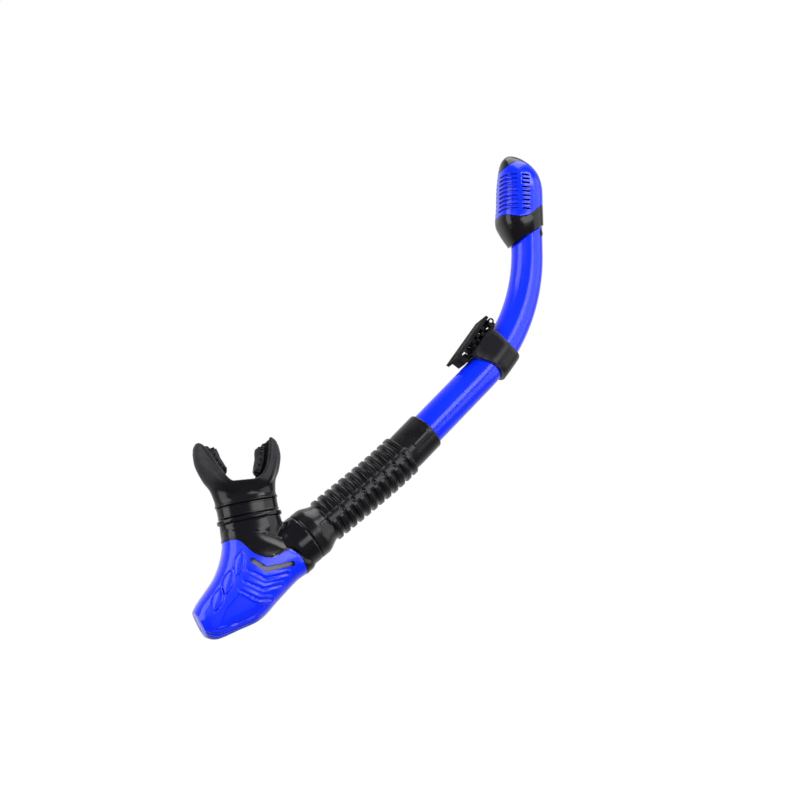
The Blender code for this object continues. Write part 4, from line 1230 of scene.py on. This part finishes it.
def make_mouthpiece():
    inner_width, inner_depth = (half + GAP for half in COLLAR_HALF)
    outer_width, outer_depth = inner_width + 2.4, inner_depth + 2.4
    outer = [(0.0, 22.8, 15.4), (0.2, 24.6, 15.6), (0.37, 28.4, 16.2), (0.62, 31.8, 17.2),
             (0.82, 31.8, 18.2), (0.87, 31.2, 18.0), (0.9, 31.1, 18.7), (0.95, 30.0, 18.8),
             (1.0, 28.2, 18.0)]
    inner = [(0.97, 27.0, 16.4), (0.82, 29.0, 15.8), (0.62, 29.0, 14.6), (0.37, 25.6, 13.4),
             (0.28, 20.6, 12.4)]
    rings = [neck_ring(height, outer_width, outer_depth) for height in (GAP, 3, 6, 9.2)]
    rings += [neck_ring(9.4, 23.4, 16.7), neck_ring(10.4, 23.4, 16.6), neck_ring(11.4, 22.8, 15.8)]
    rings += [rim_ring(*row) for row in smooth(outer, 4)]
    rings += [rim_ring(*row) for row in smooth(inner, 3)]
    rings += [neck_ring(18.8, 16.5, 9.5), neck_ring(18.4, inner_width, inner_depth),
              neck_ring(GAP, inner_width, inner_depth)]
    mouthpiece = draft(skin(rings, hollow=True))
    for side in (-1, 1):
        tab = [on_neck(side * across, up - side * RIM_TILT) for across, up in TAB]
        carve(mouthpiece, "UNION", prism([(point.x, point.z) for point in tab], -2.2, 2.2), solver="EXACT")
        for low, high in zip(BITE_HOLES, BITE_HOLES[1:]):
            ends = [on_neck(side * across, up - side * RIM_TILT) for across, up in (low, high)]
            along = (ends[1] - ends[0]).normalized()
            out = Vector((-along.z, 0, along.x))
            pad = block((ends[0] + ends[1]) / 2, along, out, 3.4, 2.6, 4.6)
            carve(mouthpiece, "UNION", pad, solver="EXACT")
    melt(mouthpiece, 0.5, 5)
    for side in (-1, 1):
        for across, up in BITE_HOLES:
            for face in (-1, 1):
                hole = on_neck(side * across, up - side * RIM_TILT, face * 5.0)
                carve(mouthpiece, "DIFFERENCE", ball(hole, 1.45))
    place(mouthpiece, "bite_mouthpiece", soft_silicone(), "silicone", "lower_body", "mouthpiece", sharp=50)
    width, depth = outer_width + GAP, outer_depth + GAP
    profile = [(0.5, 0.0), (0.5, 0.8), (0.9, 1.25), (1.5, 1.25), (1.8, 1.0)]
    profile += [(CLAMP_HEIGHT - 0.8, 1.0), (CLAMP_HEIGHT - 0.5, 1.25), (CLAMP_HEIGHT + 0.1, 1.25),
                (CLAMP_HEIGHT + 0.5, 0.8), (CLAMP_HEIGHT + 0.5, 0.0)]
    clamp = [neck_ring(height, width + out, depth + out) for height, out in profile]
    place(draft(skin(clamp, hollow=True)), "clamp_band", polished_black(), "satin_black_plastic",
          "lower_body", "mouthpiece_clamp")


# Operators

class SNORKEL_OT_barrel(bpy.types.Operator):
    """Build the bent barrel"""
    bl_idname = "snorkel.barrel"
    bl_label = "Barrel"
    bl_options = {"REGISTER", "UNDO"}

    def execute(self, context):
        make_barrel()
        return {"FINISHED"}


class SNORKEL_OT_dry_top(bpy.types.Operator):
    """Build the dry top's base, louvred cover, peak and float valve"""
    bl_idname = "snorkel.dry_top"
    bl_label = "Dry Top"
    bl_options = {"REGISTER", "UNDO"}

    def execute(self, context):
        make_collar()
        make_cover()
        make_cap()
        for node in ("valve_lever", "float_block"):
            dress_node(node, float_foam())
        for node in ("valve_seal", "dry_top_o_ring"):
            dress_node(node, soft_silicone())
        dress_node("float_pin", drawn_steel())
        return {"FINISHED"}


class SNORKEL_OT_button(bpy.types.Operator):
    """Build the button that releases the dry top"""
    bl_idname = "snorkel.button"
    bl_label = "Release Button"
    bl_options = {"REGISTER", "UNDO"}

    def execute(self, context):
        make_button()
        return {"FINISHED"}


class SNORKEL_OT_keeper(bpy.types.Operator):
    """Build the strap keeper's ring, plate and gate"""
    bl_idname = "snorkel.keeper"
    bl_label = "Strap Keeper"
    bl_options = {"REGISTER", "UNDO"}

    def execute(self, context):
        make_keeper()
        make_gate()
        return {"FINISHED"}


class SNORKEL_OT_hose(bpy.types.Operator):
    """Build the ribbed hose"""
    bl_idname = "snorkel.hose"
    bl_label = "Ribbed Hose"
    bl_options = {"REGISTER", "UNDO"}

    def execute(self, context):
        make_hose()
        return {"FINISHED"}


class SNORKEL_OT_housing(bpy.types.Operator):
    """Build the lower housing and its lip"""
    bl_idname = "snorkel.housing"
    bl_label = "Lower Housing"
    bl_options = {"REGISTER", "UNDO"}

    def execute(self, context):
        make_housing()
        make_lip()
        return {"FINISHED"}


class SNORKEL_OT_purge(bpy.types.Operator):
    """Build the moulded purge cover and dress the valve behind it"""
    bl_idname = "snorkel.purge"
    bl_label = "Purge"
    bl_options = {"REGISTER", "UNDO"}

    def execute(self, context):
        make_purge_cover()
        dress_node("purge_valve_seat", satin_black())
        dress_node("purge_diaphragm", soft_silicone())
        return {"FINISHED"}


class SNORKEL_OT_mouthpiece(bpy.types.Operator):
    """Build the bite mouthpiece and its clamp band"""
    bl_idname = "snorkel.mouthpiece"
    bl_label = "Mouthpiece"
    bl_options = {"REGISTER", "UNDO"}

    def execute(self, context):
        make_mouthpiece()
        return {"FINISHED"}


# Stage

VIEW_AZIMUTH = radians(-14)
VIEW_ELEVATION = radians(-11)
VIEW_DISTANCE = 1.15
VIEW_LENS = 68.1
FLOOR_DROP = 0.085
FLOOR_HALF = 4.0
BACKDROP_RADIUS = 6.0


def area_light(name, at, target, size, power, size_y=None, run=UP):
    """A rectangular light that looks at target, with its height along run."""
    light = bpy.data.lights.new(name, "AREA")
    light.shape = "RECTANGLE"
    light.size = size
    light.size_y = size_y or size
    light.energy = power
    obj = bpy.data.objects.new(name, light)
    back = (Vector(at) - Vector(target)).normalized()
    height = (run - back * run.dot(back)).normalized()
    turn = Matrix((height.cross(back), height, back)).transposed().to_4x4()
    obj.matrix_world = Matrix.Translation(at) @ turn
    bpy.context.scene.collection.objects.link(obj)
    return obj


def make_world():
    """Bright studio walls behind, and a dim room on the side that the camera stands on."""
    world = bpy.data.worlds.new("studio")
    nodes = NodeTree(world)
    where = nodes.node("ShaderNodeTexCoord", output="Generated")
    behind = nodes.node("ShaderNodeSeparateXYZ", {}, {"Vector": where}, output="Y")
    strength = nodes.node("ShaderNodeMapRange", {}, {
        "Value": behind, "From Min": -0.15, "From Max": 0.75, "To Min": 0.07, "To Max": 0.8})
    nodes.put(nodes.tree.nodes["Background"], {"Color": (1, 1, 1, 1), "Strength": strength})
    bpy.context.scene.world = world


def make_stage():
    make_world()
    level = CAD_BOX[0][2] - FLOOR_DROP
    corners = [(x * FLOOR_HALF, y * FLOOR_HALF, level) for x, y in ((-1, -1), (1, -1), (1, 1), (-1, 1))]
    mesh = bpy.data.meshes.new("floor")
    mesh.from_pydata(corners, [], [(0, 1, 2, 3)])
    floor = bpy.data.objects.new("floor", mesh)
    bpy.context.scene.collection.objects.link(floor)
    pale = Recipe("pale_floor", roughness=0.9, emission_color=(1, 1, 1, 1), emission_strength=0.75)
    mottle = pale.noise(3.0, 3)
    tint = pale.mix(mottle, (0.93, 0.93, 0.93, 1), (0.96, 0.96, 0.96, 1))
    mesh.materials.append(pale.feed(base_color=tint))
    dome = draft(ball(Vector((0, 0, 0)), BACKDROP_RADIUS), "backdrop")
    for polygon in dome.data.polygons:
        polygon.flip()
    glow = Recipe("backdrop_glow")
    light = glow.node("ShaderNodeEmission", {}, {"Color": (1, 1, 1, 1), "Strength": 1.0})
    glow.put(glow.tree.nodes["Material Output"], {"Surface": light})
    dome.data.materials.append(glow.material)
    floor.visible_glossy = floor.visible_diffuse = False
    dome.visible_diffuse = dome.visible_glossy = dome.visible_transmission = dome.visible_shadow = False


def make_lights():
    """Softboxes that show in the gloss, and fills that don't."""
    middle = (-0.05, 0.0, -0.05)
    area_light("left_softbox", (-1.23, -0.41, 0.1), middle, 0.75, 8, size_y=1.5)
    area_light("right_softbox", (1.1, -0.5, 0.2), middle, 1.2, 6.5, size_y=1.5)
    area_light("window", (0.42, -0.65, 0.72), middle, 0.42, 2.4)
    area_light("strip", (0.39, -1.1, 0.12), (0.0, 0.0, -0.02), 0.42, 2.8, size_y=0.8,
               run=direction(BARREL_ANGLE))
    area_light("overhead", (0.0, 0.1, 1.3), middle, 1.0, 8)
    back_wall = area_light("back_wall", (0.0, 1.3, 0.2), middle, 1.6, 8)
    back_wall.visible_glossy = False
    for name, at, power in (("left_fill", (-0.9, -1.2, 0.2), 11), ("right_fill", (0.8, -1.3, 0.1), 11),
                            ("low_fill", (0.0, -0.9, -0.25), 3)):
        area_light(name, at, middle, 0.9, power).visible_glossy = False


def make_camera():
    back = Vector((sin(VIEW_AZIMUTH) * cos(VIEW_ELEVATION), -cos(VIEW_AZIMUTH) * cos(VIEW_ELEVATION),
                   sin(VIEW_ELEVATION)))
    target = -STRAP_SLOT * MM
    camera = bpy.data.cameras.new("camera")
    camera.lens = VIEW_LENS
    camera.sensor_width = 36.0
    camera.clip_end = 50.0
    obj = bpy.data.objects.new("camera", camera)
    obj.location = target + back * VIEW_DISTANCE
    obj.rotation_euler = (-back).to_track_quat("-Z", "Y").to_euler()
    bpy.context.scene.collection.objects.link(obj)
    bpy.context.scene.camera = obj
    bpy.context.scene.view_settings.view_transform = "Standard"


class SNORKEL_OT_stage(bpy.types.Operator):
    """Set up the pale floor, the studio light and the camera"""
    bl_idname = "snorkel.stage"
    bl_label = "Studio Stage"
    bl_options = {"REGISTER", "UNDO"}

    def execute(self, context):
        make_stage()
        make_lights()
        make_camera()
        return {"FINISHED"}


STEPS = (SNORKEL_OT_barrel, SNORKEL_OT_dry_top, SNORKEL_OT_button, SNORKEL_OT_keeper, SNORKEL_OT_hose,
         SNORKEL_OT_housing, SNORKEL_OT_purge, SNORKEL_OT_mouthpiece, SNORKEL_OT_stage)


class SNORKEL_PT_panel(bpy.types.Panel):
    """Sizes, colours and build steps of the snorkel"""
    bl_idname = "SNORKEL_PT_panel"
    bl_label = "Snorkel"
    bl_space_type = "VIEW_3D"
    bl_region_type = "UI"
    bl_category = "Snorkel"

    def draw(self, context):
        for group in (context.scene.snorkel_sizes, context.scene.snorkel_colours):
            for name in group.__annotations__:
                self.layout.prop(group, name)
        for step in STEPS:
            self.layout.operator(step.bl_idname)


CLASSES = (SnorkelSizes, SnorkelColours, *STEPS, SNORKEL_PT_panel)


def register():
    for made in CLASSES:
        bpy.utils.register_class(made)
    bpy.types.Scene.snorkel_sizes = PointerProperty(type=SnorkelSizes)
    bpy.types.Scene.snorkel_colours = PointerProperty(type=SnorkelColours)


def unregister():
    del bpy.types.Scene.snorkel_colours
    del bpy.types.Scene.snorkel_sizes
    for made in reversed(CLASSES):
        bpy.utils.unregister_class(made)


def main():
    """Registers the classes, then builds every piece and the stage."""
    register()
    for step in STEPS:
        group, name = step.bl_idname.split(".")
        getattr(getattr(bpy.ops, group), name)()


if __name__ == "__main__":
    main()
